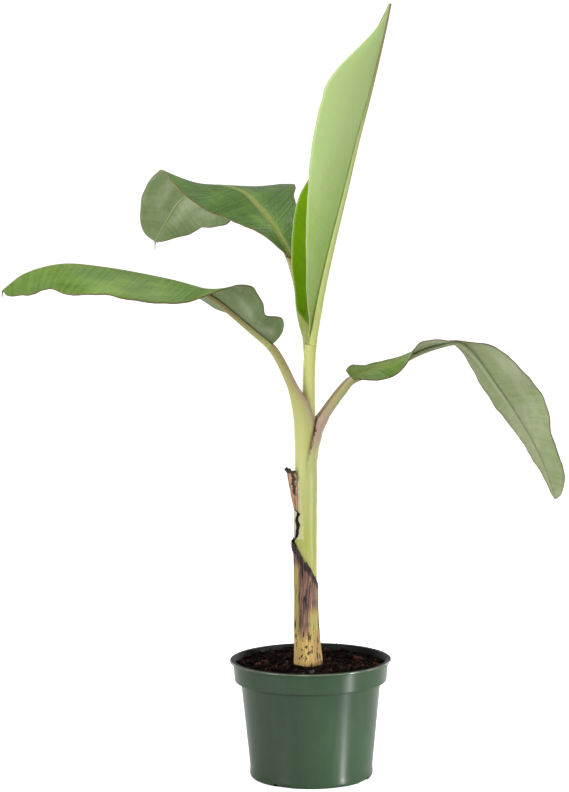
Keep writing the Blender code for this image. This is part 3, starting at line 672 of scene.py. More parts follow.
def stem_skin():
    """The stem's skin: tan and flecked with black at the foot, a clear pale green higher up,
    and greyish pink down its right side under the fork."""
    made, shader = new_material("stem_skin", {"Subsurface Weight": 0.1, "Subsurface Scale": 0.003})
    lay = marks(shader).lay
    x, _, height = parts_of(object_place(shader))
    colour, fine = sheath_green(stem_greens(height), lay)
    blush = product(between(x, 0.000, 0.006), between(height, 0.300, 0.335),
                    between(height, 0.375, 0.355), 0.5)
    low = between(height, 0.215, 0.120)
    stain = patches(lay, 120.0, 0.46, 0.25, (1, 1, 0.3))
    fleck = patches(lay, 330.0, 0.36, 0.03, (1, 1, 0.22))
    colour = layered(colour, (blush, (0.44, 0.33, 0.24)), (product(stain, low, 0.5), (0.24, 0.12, 0.04)),
                     (product(fleck, low), (0.020, 0.010, 0.006)))
    feed(shader.inputs["Roughness"], spread_over(fine, 0.36, 0.52))
    dress(shader, colour, fine, 0.35, 0.0002)
    return made


def stem_relief(angle, height):
    """How far the overlapping sheaths lift the stem's surface, with a step at each margin."""
    lift = 0.00012 * sin(7 * angle + 9 * height) + 0.0001 * sin(13 * angle - 22 * height)
    for middle, lean, top, low in SHEATH_MARGINS:
        edge = radians(middle + lean * (top - height))
        behind = (angle - edge) % (2 * pi)
        fade = held((top - height) / MARGIN_FADES[0]) * held((height - low) / MARGIN_FADES[1])
        lift += fade * SHEATH_STEP * (max(1 - behind / MARGIN_TAPER, 0) - 0.35)
    return lift


stem_shares = np.linspace(0, 1, STEM_ROWS + 1)
line, tangent, upper, knots, length = limb_frames(STEM_ROUTE, UPRIGHT_LEAF, stem_shares)
across = np.cross(upper, tangent)
radius = np.interp(stem_shares, knots, STEM_RADII)
points, lay, span = (np.zeros((len(stem_shares), STEM_AROUND + 1, 3)) for _ in range(3))
span[:, :, 0] = stem_shares[:, None]
for row, share in enumerate(stem_shares):
    height = line[row][2]
    channel = STEM_CHANNEL * radius[row] * np.interp(height, STEM_CHANNEL_HEIGHTS, (0, 1))
    for column in range(STEM_AROUND + 1):
        turn = 2 * pi * (column % STEM_AROUND) / STEM_AROUND
        out = upper[row] * cos(turn) + across[row] * sin(turn)
        relief = stem_relief(np.arctan2(out[1], out[0]) % (2 * pi), height)
        place = out * (radius[row] + relief * min(1, radius[row] / FULL_RELIEF_RADIUS))
        if turn < STEM_CHANNEL_TURN:
            place = place - upper[row] * channel * cos(STEM_CHANNEL_CURVE * turn)
        points[row, column] = line[row] + place
        lay[row, column] = (radius[row] * cos(turn), radius[row] * sin(turn), share * length)
points[:, :, 2] = np.maximum(points[:, :, 2], STEM_ROUTE[0][2])
add_piece("sheathed_stem", skin(points, lay, span, closed=True), ["pseudostem"], [stem_skin()])


# Leaf stalks: each older leaf's sheath leaves the stem as a gutter with thin pinkish
# margins, which closes into a stout stalk with a channel along its upper side.
LEFT_LEAF = dict(
    rib=((-0.0384, -0.0277, 0.4468), (-0.0573, -0.04, 0.4645), (-0.0749, -0.05, 0.4809),
         (-0.0924, -0.058, 0.4961), (-0.1156, -0.064, 0.509), (-0.1548, -0.068, 0.5193),
         (-0.2038, -0.066, 0.5283), (-0.2438, -0.06, 0.5313), (-0.28, -0.05, 0.522),
         (-0.3034, -0.045, 0.5055)),
    face=(0.6, 0.0, 0.8), hand=1, rib_radius=0.0045,
    folds=((0.00, 80, 21, -30, 0), (0.05, 86, 15, -19, 0), (0.10, 66, 10, -9, 0),
           (0.20, 66, 0, -21, 0), (0.27, 31, -20, -21, 0), (0.34, -10, -30, -18, 0),
           (0.45, -30, -20, -18, -10), (0.60, -37, -20, -15, -14), (0.80, -54, -20, -15, -20),
           (1.00, -56, 0, 0, 0)),
    near=(0.0402, 0.42, 0.51, 0.4), far=(0.0415, 0.42, 0.69, 0.58),
    near_lobes=((0.02, 0.0091, 0.03), (0.1, -0.0076, 0.03), (0.16, -0.0028, 0.04), (0.6, -0.0015, 0.06),
                (0.72, 0.0021, 0.06), (0.82, -0.0045, 0.05), (0.92, 0.0025, 0.05)),
    far_lobes=((0.96, 0.002, 0.04),),
    near_ripple=(0.0012, 5, 0.35), far_ripple=(0.0010, 5, 0.25), thread=(-0.0010, 0.0, -0.0085),
    flare=(0.7, 0.04), frayed=0.0007, ear=0.0)
BACK_LEAF = dict(
    rib=((-0.0184, 0.053, 0.5287), (-0.0318, 0.07, 0.5549), (-0.0471, 0.095, 0.5753),
         (-0.0656, 0.13, 0.592), (-0.0879, 0.165, 0.5978), (-0.11, 0.2, 0.5965),
         (-0.1242, 0.222, 0.5897), (-0.1387, 0.232, 0.5766), (-0.1513, 0.234, 0.5569),
         (-0.1632, 0.23, 0.536)),
    face=(0.3, -0.7, 0.5), hand=1, rib_radius=0.0033,
    folds=((0.00, 29, 0, 26, 0), (0.20, -16, 0, 22, 0), (0.45, -24, 0, -7, 0), (0.60, 9, 0, -21, 0),
           (0.70, 32, 0, -55, 0), (0.80, 40, 0, -70, 0), (0.90, 58, 0, -70, 0), (1.00, 66, 0, -79, 0)),
    near=(0.0441, 0.65, 0.63, 0.4), far=(0.0424, 0.56, 0.48, 0.59),
    near_lobes=((0.1, -0.0029, 0.07),),
    far_lobes=((0.35, 0.013, 0.1), (0.7, 0.0114, 0.07), (0.8, 0.0084, 0.07), (0.9, 0.0078, 0.06)),
    near_ripple=(0.0010, 4, 0.3), far_ripple=(0.0010, 5, 0.3), thread=(-0.0002, 0.0, -0.0110),
    flare=(0.7, 0.04), frayed=0.0007, ear=0.0)
RIGHT_LEAF = dict(
    rib=((0.0445, 0.0212, 0.4059), (0.0653, 0.0285, 0.4129), (0.0915, 0.036, 0.4214),
         (0.1133, 0.044, 0.4309), (0.1357, 0.052, 0.4374), (0.1553, 0.06, 0.439),
         (0.1719, 0.068, 0.4251), (0.1921, 0.074, 0.3969), (0.2182, 0.08, 0.3582),
         (0.2414, 0.085, 0.3171), (0.2585, 0.09, 0.2712)),
    face=(0.0, 0.0, 1.0), hand=-1, rib_radius=0.0046,
    folds=((0.00, -22, 0, 61, 0), (0.06, -38, 0, 35, 0), (0.12, -29, 0, 15, 0), (0.18, 5, 0, -2, 0),
           (0.22, 25, 0, -9, 0), (0.26, 23, 0, -2, 0), (0.32, 8, 0, -9, 0), (0.37, 2, 0, -12, 0),
           (0.42, 16, 0, -15, 0), (0.48, 27, 0, -29, 0), (0.56, 42, 0, -44, 0), (0.65, 58, 0, -45, 0),
           (0.80, 28, 0, -27, 0), (1.00, 43, 0, -24, 0)),
    near=(0.0324, 0.55, 0.55, 0.52), far=(0.0143, 0.55, 0.69, 0.56),
    near_lobes=((0.12, 0.0015, 0.04), (0.7, 0.0021, 0.05), (0.93, 0.0024, 0.04)),
    far_lobes=((0.015, 0.004, 0.03), (0.62, 0.001, 0.06), (0.85, 0.002, 0.05), (0.93, -0.0015, 0.05)),
    near_ripple=(0.0012, 5, 0.2), far_ripple=(0.0010, 6, 0.2), flare=(1.0, 0.04),
    frayed=0.0009, ear=0.0026)
# Each row: centre x, y, z, radius, half opening in degrees, and how far it is a closed stalk
LEFT_STALK = ((-0.0030, 0.0004, 0.296, 0.0108, 120, 0), (-0.0030, 0.0002, 0.320, 0.0112, 120, 0),
              (-0.0032, -0.0002, 0.340, 0.0113, 125, 0), (-0.0036, -0.0014, 0.360, 0.0115, 134, 0),
              (-0.0053, -0.0038, 0.374, 0.0107, 142, 0.2), (-0.0098, -0.0076, 0.389, 0.0086, 142, 0.6),
              (-0.0152, -0.0122, 0.402, 0.0058, 146, 1), (-0.0195, -0.0155, 0.412, 0.0050, 150, 1),
              (-0.0282, -0.0207, 0.431, 0.0047, 150, 1))
RIGHT_STALK = ((-0.0030, -0.0002, 0.290, 0.0104, 112, 0), (-0.0030, -0.0004, 0.318, 0.0110, 107, 0),
               (-0.0022, -0.0007, 0.336, 0.0122, 100, 0), (-0.0002, -0.0010, 0.348, 0.0126, 94, 0),
               (0.0040, -0.0006, 0.358, 0.0118, 101, 0.2), (0.0118, 0.0026, 0.3665, 0.0072, 145, 0.8),
               (0.0171, 0.0058, 0.3743, 0.0058, 148, 1), (0.0246, 0.0100, 0.3843, 0.0056, 150, 1),
               (0.0338, 0.0152, 0.3955, 0.0054, 150, 1))
BACK_STALK = ((-0.0030, 0.0006, 0.312, 0.0110, 110, 0), (-0.0030, 0.0018, 0.336, 0.0110, 110, 0),
              (-0.0022, 0.0050, 0.356, 0.0090, 115, 0.3), (-0.0010, 0.0100, 0.372, 0.0066, 130, 0.7),
              (0.0002, 0.0132, 0.390, 0.0050, 145, 1), (0.0004, 0.0165, 0.417, 0.0044, 150, 1),
              (-0.0024, 0.0220, 0.458, 0.0040, 150, 1), (-0.0095, 0.0360, 0.497, 0.0036, 150, 1))
SHEATH_SKIN = 0.0008
CHANNEL_DEPTH = 0.75        # of the radius
CHANNEL_WIDTH = 0.86        # of the opening
CHANNEL_CURVE = 0.8
RIPE_OPENING = 150          # half opening in degrees where a stalk meets its blade
OUTER_STEPS = 36
INNER_STEPS = 14
STALK_ROWS = 110


def gutter(line, tangent, upper, hand, radius, opening, closed, length, top=None):
    """A limb that is an arc outside, and inside a thin wall where it is a sheath or a shallow
    channel where it is a stalk. "top" keeps its upper side below a blade laid on it."""
    across = np.cross(upper, tangent) * hand
    outer = np.linspace(-1, 1, OUTER_STEPS + 1)
    inner = np.linspace(1, -1, INNER_STEPS + 1)[1:]
    place = np.concatenate([outer, inner])
    points, lay, span = (np.zeros((len(line), len(place), 3)) for _ in range(3))
    span[:, :, 0] = np.linspace(0, 1, len(line))[:, None]
    lay[:, :, 2] = span[:, :, 0] * length
    for row, (r, half, shut) in enumerate(zip(radius, np.radians(opening), closed)):
        x, y = r * np.sin(place * half), -r * np.cos(place * half)
        wall_x = (r - SHEATH_SKIN) * np.sin(inner * half)
        wall_y = (SHEATH_SKIN - r) * np.cos(inner * half)
        channel_x = r * sin(half) * inner * CHANNEL_WIDTH
        channel_y = -r * cos(half) - CHANNEL_DEPTH * r * (1 - inner ** 2) ** CHANNEL_CURVE
        x[len(outer):] = wall_x + (channel_x - wall_x) * shut
        y[len(outer):] = wall_y + (channel_y - wall_y) * shut
        x[-1], y[-1] = x[0], y[0]
        if top is not None:
            y = np.minimum(y, top(row, x))
        points[row] = line[row] + x[:, None] * across[row] + y[:, None] * upper[row]
        lay[row, :, 0] = place * half * r
        lay[row, :, 1] = (1 - abs(place)) * half * r
    return skin(points, lay, span, closed=True)


def stalk_skin(name, pale, deep, blush, blush_heights, blush_reach):
    """A stalk's skin: pale along its back, pink near its thin margins and where it leaves the
    stem, and below that the stem's own colour."""
    made, shader = new_material(name, {"Roughness": 0.40, "Subsurface Weight": 0.1,
                                       "Subsurface Scale": 0.003})
    at = marks(shader)
    place = object_place(shader)
    height = parts_of(place)["Z"]
    low, high = blush_heights
    colour, fine = sheath_green(mix(between(at.span["X"], 0.35, 1.0), pale, deep), at.lay, 0.18)
    pink = product(between(at.rim, blush_reach, 0.3 * blush_reach),
                   between(height, low - 0.012, low + 0.012),
                   between(height, high + 0.014, high - 0.010), 0.85)
    nicks = product(patches(place, 420.0, 0.52, 0.05), between(at.rim, 0.0022, 0.0012),
                    between(height, 0.366, 0.358))
    stem, _ = sheath_green(stem_greens(height), at.lay)
    colour = layered(colour, (pink, blush),
                     (product(between(at.rim, 0.0042, 0.0008), 0.55), (0.42, 0.27, 0.18)),
                     (product(between(at.rim, 0.0008, 0.0003), 0.8), (0.16, 0.085, 0.05)),
                     (nicks, (0.035, 0.016, 0.010)), (between(height, 0.345, 0.322), stem))
    dress(shader, colour, fine, 0.35, 0.0002)
    return made


def make_stalk(side, rows, leaf, *look):
    """A stalk from its rows: its piece, its CAD node and its skin are named by its side."""
    table = np.array(rows)
    shares = np.linspace(0, 1, STALK_ROWS + 1)
    line, tangent, upper, knots, length = limb_frames([row[:3] for row in rows], leaf, shares)
    radius, opening, shut = (np.interp(shares, knots, [*table[:, k], end])
                             for k, end in ((3, leaf["rib_radius"]), (4, RIPE_OPENING), (5, 1)))
    body = gutter(line, tangent, upper, leaf["hand"], radius, opening, shut, length)
    add_piece(side + "_leaf_stalk", body, [side + "_stalk"],
              [stalk_skin(side + "_stalk_skin", *look)], 50)


make_stalk("left", LEFT_STALK, LEFT_LEAF, (0.50, 0.50, 0.17), (0.36, 0.34, 0.11), (0.50, 0.33, 0.26),
           (0.366, 0.412), 0.0080)
make_stalk("right", RIGHT_STALK, RIGHT_LEAF, (0.50, 0.47, 0.21), (0.42, 0.42, 0.17),
           (0.48, 0.34, 0.26), (0.345, 0.376), 0.0240)
make_stalk("back", BACK_STALK, BACK_LEAF, (0.46, 0.52, 0.16), (0.46, 0.46, 0.15), (0.48, 0.34, 0.26),
           (0.345, 0.376), 0.0080)


# Leaves: broad thin blades, glossy green above and waxy grey-green below, folded along
# a stout midrib, with fine side veins that run out to a thin reddish-brown margin.
BLADE_THICKNESS = 0.0009
BLADE_EDGE = 0.0012
STATIONS = 230
STATION_CROWDING = 1.04     # above 1 crowds the stations to the base
HALF_COLUMNS = 22
COLUMN_CROWDING = 1.5       # above 1 crowds the columns to the rib
RIB_GROOVE = 0.5        # of the rib's radius
RIB_OPENING = 118
RIB_TAPER = 0.7
EAR_REACH = 0.03        # share of the length that a base corner's ear takes up
RIPPLE_RISE = 2.2       # above 1 keeps the ripple near the margin
THREAD_RADIUS = 0.0007      # of the dried thread that hangs from an older leaf's tip
THREAD_MIDDLE = 0.46        # of its length below the tip


def wander(seed, *place):
    """A smooth wandering value between about -1 and 1."""
    apart = Vector((17.3, 5.1, 9.7)) * seed
    return noise.noise(Vector((*place, 0, 0)[:3]) + apart) * 1.6


def read_rows(rows, share):
    """Read a table of rows at a share, with smooth turns between the rows."""
    table = np.array(rows, dtype=float)
    at, values = table[:, 0], table[:, 1:]
    width = np.diff(at)
    slope = np.diff(values, axis=0) / width[:, None]
    turn = np.vstack([slope[:1], slope[1:], slope[-1:]])
    for k in range(1, len(at) - 1):
        turn[k] = (slope[k - 1] * width[k] + slope[k] * width[k - 1]) / (width[k] + width[k - 1])
    k = np.clip(np.searchsorted(at, share, side="right") - 1, 0, len(at) - 2)
    h = width[k][:, None]
    t = (share[:, None] - at[k][:, None]) / h
    return ((1 + 2 * t) * (1 - t) ** 2 * values[k] + t * (1 - t) ** 2 * h * turn[k]
            + t * t * (3 - 2 * t) * values[k + 1] + t * t * (t - 1) * h * turn[k + 1])


def half_width(share, half, lobes):
    """Half width of a blade: it swells to its widest place, then closes to the tip."""
    widest, place, swell, close = half
    rise = np.sin(pi / 2 * held(share / place)) ** swell
    fall = held(np.cos(pi / 2 * held((share - place) / (1 - place)))) ** close
    form = np.where(share < place, rise, fall)
    width = widest * form
    for middle, size, reach in lobes:
        width = width + size * np.exp(-((share - middle) / reach) ** 2) * held(6 * form)
    return width


def thickened(body, thickness):
    """A skin made solid below its faces, with the new underside on the next material."""
    holder = placed("thin", body)
    solid = holder.modifiers.new("thickness", "SOLIDIFY")
    solid.thickness = thickness
    solid.offset = -1
    solid.use_quality_normals = True
    solid.material_offset = 1
    for _ in range(2):
        holder.data.materials.append(None)
    made = bmesh.new()
    made.from_mesh(applied(holder))
    bpy.data.objects.remove(holder)
    return made


def groove(radius, x):
    """How far a blade dips over its rib, at a distance from the rib's middle."""
    return RIB_GROOVE * radius * held(1 - (x / radius) ** 2) ** 2


def joined(halves):
    """The columns of a blade's two halves, from its far margin to its near one."""
    return np.stack(halves[0][:0:-1] + halves[1], axis=1)


def make_leaf(name, stalk, leaf, targets, finishes, seed):
    """A blade by the same rule as its solid, finely divided, with its midrib under it."""
    shares = np.linspace(0, 1, STATIONS + 1) ** STATION_CROWDING
    cross = np.linspace(0, 1, HALF_COLUMNS + 1) ** COLUMN_CROWDING
    places = [*[row[:3] for row in stalk[-2:]], *leaf["rib"]]
    line, length = along(places, 2, len(places) - 1, shares)
    tangent, upper = rib_frames(line, leaf["face"])
    across = np.cross(upper, tangent) * leaf["hand"]
    folds = np.radians(read_rows(leaf["folds"], shares))
    rib_radius = leaf["rib_radius"] + (RIB_TIP_RADIUS - leaf["rib_radius"]) * shares ** RIB_TAPER
    meeting_line = line + upper * rib_radius[:, None]
    halves, distances, margins = [], [], []
    for key, way, first in (("far", -1, 2), ("near", 1, 0)):
        width = BLADE_EDGE + half_width(shares, leaf[key], leaf[key + "_lobes"])
        width = width + (rib_radius - RIB_TIP_RADIUS) * (1 - shares) ** 6
        frayed = np.array([wander(seed + 31 + way, 30 * share) for share in shares])
        width = width + leaf["frayed"] * frayed * held(8 * np.minimum(shares, 1 - shares))
        if way < 0:
            width = width + leaf["ear"] * np.exp(-(shares / EAR_REACH) ** 2)
        opened, length_share = leaf["flare"]
        width = width * (opened + (1 - opened) * held(shares / length_share) ** 0.8)
        rows, reach = [meeting_line - upper * groove(rib_radius, 0)[:, None]], meeting_line
        for before, after in zip(cross[:-1], cross[1:]):
            lift = folds[:, first] + folds[:, first + 1] * ((before + after) / 2 - 0.5)
            course = way * across * np.cos(lift)[:, None] + upper * np.sin(lift)[:, None]
            reach = reach + course * (width * (after - before))[:, None]
            rows.append(reach - upper * groove(rib_radius, width * after)[:, None])
        amount, waves, start = leaf[key + "_ripple"]
        swing = amount * held((shares - start * 0.5) / start) * held(8 * (1 - shares))
        swing = swing * [wander(seed + 0.5 * way, 2 * waves * share)
                         + 0.35 * wander(seed + 7, 6 * waves * share) for share in shares]
        for number, place in enumerate(cross[1:], 1):
            side = np.gradient(np.array(rows), axis=0)[number]
            course = np.cross(side, tangent)
            course /= np.maximum(np.linalg.norm(course, axis=1), 1e-9)[:, None]
            rows[number] = rows[number] + course * (swing * place ** RIPPLE_RISE)[:, None]
        halves.append(rows)
        distances.append([way * width * place for place in cross])
        margins.append([width * (1 - place) for place in cross])
    surface = joined(halves)
    lay, span = np.zeros_like(surface), np.zeros_like(surface)
    lay[:, :, 0] = joined(distances)
    lay[:, :, 1] = joined(margins)
    lay[:, :, 2] = (shares * length)[:, None]
    span[:, :, 0] = shares[:, None]
    span[:, :, 1] = np.abs(lay[:, :, 0]) / rib_radius[:, None]
    span[:, :, 2] = np.concatenate([-cross[:0:-1], cross])[None, :]
    blade = skin(surface, lay, span)
    if leaf["hand"] < 0:        # the grid then faces down, as its columns run the other way
        bmesh.ops.reverse_faces(blade, faces=blade.faces)
    body = thickened(blade, BLADE_THICKNESS)

    def under_blade(row, x):
        near, near_turn, far, far_turn = folds[row]
        lift = np.clip(np.where(x > 0, near - near_turn / 2, far - far_turn / 2), -1.2, 1.2)
        below = rib_radius[row] + np.abs(x) * np.tan(lift) - groove(rib_radius[row], x)
        return below - 1.1 * BLADE_THICKNESS

    opening = np.full(len(shares), RIB_OPENING)
    rib = gutter(line, tangent, upper, leaf["hand"], rib_radius, opening, np.ones(len(shares)), length,
                 under_blade)
    for face in rib.faces:
        face.material_index = 2
    holder = placed("rib", rib)
    body.from_mesh(holder.data)
    bpy.data.objects.remove(holder)
    if "thread" in leaf:
        hang = Vector(leaf["thread"])
        thread = bmesh.ops.create_cone(body, segments=8, radius1=THREAD_RADIUS,
                                       radius2=0.2 * THREAD_RADIUS, depth=hang.length,
                                       cap_ends=True)["verts"]
        bmesh.ops.rotate(body, matrix=hang.to_track_quat("Z", "Y").to_matrix(), verts=thread)
        bmesh.ops.translate(body, vec=Vector(line[-1]) + hang * THREAD_MIDDLE, verts=thread)
        for face in {face for vert in thread for face in vert.link_faces}:
            face.material_index = 3
    add_piece(name, body, targets, finishes, 180)


def veins_group():
    """Side veins of a blade: they leave the rib at a slant and bend towards the tip. Gives
    their fine lines and the broad ridges between the stronger ones, from 0 to 1."""
    group, given, result = new_group("side_veins", {"Lay": "Vector"},
                                     {"Fine": "Float", "Broad": "Float"})
    x, _, z = parts_of(given["Lay"])
    out = maths("ABSOLUTE", x)
    bend = maths("SUBTRACT", maths("SUBTRACT", z, product(out, 0.35)), product(out, out, 4.5))
    for name, scale, drawn in (("Fine", 1100.0, 0.03), ("Broad", 230.0, 0.05)):
        course = node(group, "ShaderNodeCombineXYZ", {"X": bend, "Y": product(x, drawn)})
        feed(result[name], between(grain(course.outputs["Vector"], scale), 0.32, 0.68))
    return group


VEINS = veins_group()


def blade_finish(name, dark, light, rib_line, rib_cover, margin, roughness, relief, gloss,
                 bloom=None, wings=None, tip=None):
    """One side of a blade: its two greens by vein, its midrib line and its thin margin."""
    made, shader = new_material(name, {"Specular IOR Level": gloss, "Subsurface Weight": 0.08,
                                       "Subsurface Scale": 0.002})
    at = marks(shader)
    share, from_rib, across = at.span
    veins = node(shader.id_data, "ShaderNodeGroup", {"Lay": at.lay}, node_tree=VEINS).outputs
    colour = mix(patches(at.lay, 34.0, 0.60, 0.35, (1, 1, 0.4)), dark, light)
    colour = layered(colour, (product(veins["Broad"], 0.35), light),
                     (product(veins["Fine"], 0.30), dark))
    if bloom:       # of wax
        colour = mix(product(patches(at.lay, 30.0, 0.56, 0.3, (1, 1, 0.5)), 0.6), colour, bloom)
    colour = mix(product(between(from_rib, 1.5, 0.5), rib_cover), colour, rib_line)
    if tip:
        colour = mix(product(between(share, 0.15, 0.75), 0.75), colour, tip)
    if wings:       # the base, still furled: pale as the stem up to a slanting line
        slant = maths("SUBTRACT", share, product(maths("ABSOLUTE", across), 0.043))
        colour = mix(between(slant, 0.056, 0.040), colour, wings)
    colour = layered(colour, (product(between(at.rim, 0.0026, 0.0005), 0.25), margin),
                     (between(at.rim, 0.0007, 0.0002), margin))
    feed(shader.inputs["Roughness"], spread_over(veins["Broad"], roughness - 0.05, roughness + 0.08))
    height = maths("ADD", maths("ADD", product(veins["Fine"], 0.22), veins["Broad"]),
                   product(grain(at.lay, 95.0, 3.0), 3.0))
    dress(shader, colour, height, relief, 0.0006)
    return made


def rib_finish(name, *colours):
    """The midrib's underside, which changes colour from its base to its tip."""
    made, shader = new_material(name, {"Roughness": 0.42})
    at = marks(shader)
    colour, fine = sheath_green(ramp(at.span["X"], *colours), at.lay, 0.15)
    dress(shader, colour, fine, 0.3, 0.0002)
    return made


OLD_UPPER = blade_finish("old_leaf_upper", (0.080, 0.160, 0.018), (0.225, 0.345, 0.068),
                         (0.22, 0.24, 0.06), 0.5, (0.14, 0.070, 0.035), 0.38, 0.5, 0.30)
DARK_UPPER = blade_finish("dark_leaf_upper", (0.045, 0.105, 0.010), (0.130, 0.250, 0.030),
                          (0.26, 0.30, 0.07), 0.85, (0.17, 0.10, 0.03), 0.30, 0.8, 0.4)
OLD_UNDER = blade_finish("old_leaf_under", (0.150, 0.225, 0.075), (0.265, 0.330, 0.165),
                         (0.24, 0.27, 0.12), 0.15, (0.13, 0.08, 0.045), 0.52, 0.4, 0.35,
                         (0.40, 0.45, 0.31))
PALE_UNDER = blade_finish("pale_leaf_under", (0.270, 0.335, 0.145), (0.420, 0.465, 0.280),
                          (0.34, 0.38, 0.18), 0.25, (0.14, 0.08, 0.045), 0.50, 0.7, 0.4,
                          (0.54, 0.57, 0.42))
# the new leaf's inner side: its vivid yellow-green is partly its own colour and partly painted light,
# the glow of light shining through the young blade
NEW_UPPER = blade_finish("new_leaf_upper", (0.125, 0.270, 0.001), (0.180, 0.340, 0.002),
                         (0.30, 0.42, 0.08), 0.6, (0.52, 0.60, 0.28), 0.45, 0.2, 0.05,
                         wings=(0.58, 0.64, 0.22))
NEW_UNDER = blade_finish("new_leaf_under", (0.370, 0.560, 0.130), (0.450, 0.650, 0.190),
                         (0.46, 0.56, 0.20), 0.45, (0.50, 0.60, 0.30), 0.50, 0.2, 0.4,
                         (0.50, 0.62, 0.30), tip=(0.58, 0.76, 0.32))
THREAD_SKIN = crumb_finish("dried_thread", (0.030, 0.018, 0.010), (0.110, 0.070, 0.035), 0.8)
make_leaf("upright_new_leaf", STEM_ROUTE, UPRIGHT_LEAF, ["upright_leaf"],
          [NEW_UPPER, NEW_UNDER,
           rib_finish("new_leaf_rib", (0.0, (0.68, 0.72, 0.22)), (0.35, (0.56, 0.68, 0.24)),
                      (0.62, (0.50, 0.58, 0.22)), (0.80, (0.36, 0.34, 0.14)),
                      (1.0, (0.24, 0.16, 0.07)))], 1)
make_leaf("left_arching_leaf", LEFT_STALK, LEFT_LEAF, ["left_leaf"],
          [OLD_UPPER, OLD_UNDER,
           rib_finish("left_leaf_rib", (0.0, (0.42, 0.42, 0.13)), (0.22, (0.27, 0.22, 0.07)),
                      (0.6, (0.20, 0.20, 0.06)), (1.0, (0.10, 0.06, 0.03))), THREAD_SKIN], 2)
make_leaf("back_turning_leaf", BACK_STALK, BACK_LEAF, ["back_leaf_rising", "back_leaf_hanging"],
          [DARK_UPPER, OLD_UNDER,
           rib_finish("back_leaf_rib", (0.0, (0.32, 0.16, 0.06)), (0.25, (0.30, 0.24, 0.08)),
                      (0.6, (0.27, 0.35, 0.13)), (1.0, (0.24, 0.33, 0.13))), THREAD_SKIN], 3)
make_leaf("right_bent_leaf", RIGHT_STALK, RIGHT_LEAF, ["right_leaf_inner", "right_leaf_outer"],
          [OLD_UPPER, PALE_UNDER,
           # partly the rib's own pale colour and partly painted light: its stops are drawn pale to lift
           # the shade along the rib
           rib_finish("right_leaf_rib", (0.0, (0.32, 0.33, 0.12)), (0.2, (0.24, 0.27, 0.12)),
                      (0.45, (0.38, 0.43, 0.24)), (1.0, (0.34, 0.38, 0.20)))], 4)


# Dried sheaths: the oldest leaf bases, dead and papery. One wraps the stem's foot up to
# a black rolled edge; the tip of another stands off the left side above it.
SHEATH_LIFT = 0.0005        # of the skin over the stem
LOWER_SHEATH_SPAN = (72, 372)
LOWER_SHEATH_EDGE = ((0, 0.250), (0.36, 0.246), (0.487, 0.239), (0.577, 0.2315), (0.677, 0.2230),
                     (0.763, 0.2135), (0.853, 0.2050), (1, 0.198))
LOWER_SHEATH_SKIN = 0.00055
LOWER_SHEATH_ROLL = 0.0030
UPPER_SHEATH_TOP = 0.320
UPPER_SHEATH_FOOT = 0.276
UPPER_SHEATH_TURN = (186, 206)      # middle of the strip in degrees, top and foot
UPPER_SHEATH_HALF_SPAN = (38, 24)
UPPER_SHEATH_SKIN = 0.0007
PAPER_SPAN = (172, 272)
PAPER_HEIGHTS = (0.247, 0.312)
PAPER_SKIN = 0.0004
# Angle and height of the places that the black crack in the papery patch runs through
CRACK = ((186, 0.2840), (204, 0.2775), (234, 0.2745), (222, 0.2680), (228, 0.2595), (222, 0.2510),
         (206, 0.2460))
CRACK_SIZE = (15, 0.0018)       # degrees wide, metres tall
# Each black scar near the foot: angle, height, half width in degrees, half length
SCARS = ((255, 0.1495, 4, 0.0038), (277, 0.1475, 4.5, 0.0062), (321, 0.1430, 5, 0.0045),
         (200, 0.1585, 9, 0.0075), (264, 0.1365, 6, 0.0020), (272, 0.1295, 6, 0.0026),
         (245, 0.1335, 5, 0.0015), (290, 0.1365, 5, 0.0018), (312, 0.1270, 4, 0.0050),
         (330, 0.1240, 6, 0.0050), (232, 0.1245, 5, 0.0014), (332, 0.2020, 12, 0.0065))


def stem_at(height):
    """Middle and radius of the stem at a height."""
    heights = [point[2] for point in STEM_ROUTE]
    return (np.interp(height, heights, [point[0] for point in STEM_ROUTE]),
            np.interp(height, heights, STEM_RADII[:len(STEM_ROUTE)]))


def wrapped(columns, rows, place):
    """A skin round the stem. place(s, t) gives its angle in degrees, height and lift."""
    points, lay, span = (np.zeros((columns + 1, rows + 1, 3)) for _ in range(3))
    for column in range(columns + 1):
        for row in range(rows + 1):
            s, t = column / columns, row / rows
            angle, height, lift = place(s, t)
            middle, radius = stem_at(height)
            reach = radius + SHEATH_LIFT + lift
            turn = radians(angle)
            points[column, row] = (middle + reach * cos(turn), reach * sin(turn), height)
            lay[column, row] = (turn * radius, (1 - t) * 0.1, height)
            span[column, row] = (s, t, angle / 360)
    return skin(points, lay, span)


def lower_sheath(s, t):
    """Wrinkled over its fibres, and rolled outwards along its ragged upper edge."""
    start, end = LOWER_SHEATH_SPAN
    angle = start + (end - start) * s
    edge = np.interp(s, *zip(*LOWER_SHEATH_EDGE))
    edge += 0.0022 * wander(1, s * 22) + 0.0012 * wander(2, s * 70)
    foot = SOIL_TOP - 0.002
    height = foot + (edge - foot) * t
    fibres = 0.00035 * wander(3, angle * 0.16, height * 12)
    fibres += 0.00022 * wander(4, angle * 0.5, height * 20)
    top = max((t - 0.90) / 0.10, 0)
    roll = LOWER_SHEATH_ROLL * sin(pi * min(top * 0.75, 1)) * (0.55 + 0.45 * wander(5, s * 14))
    roll = roll * (1.15 - s) if s > 0.3 else roll
    loose = 0.0010 * held((t - 0.55) / 0.4) * (0.6 + 0.6 * wander(6, s * 9))
    return angle, height, fibres + roll + max(loose, 0)


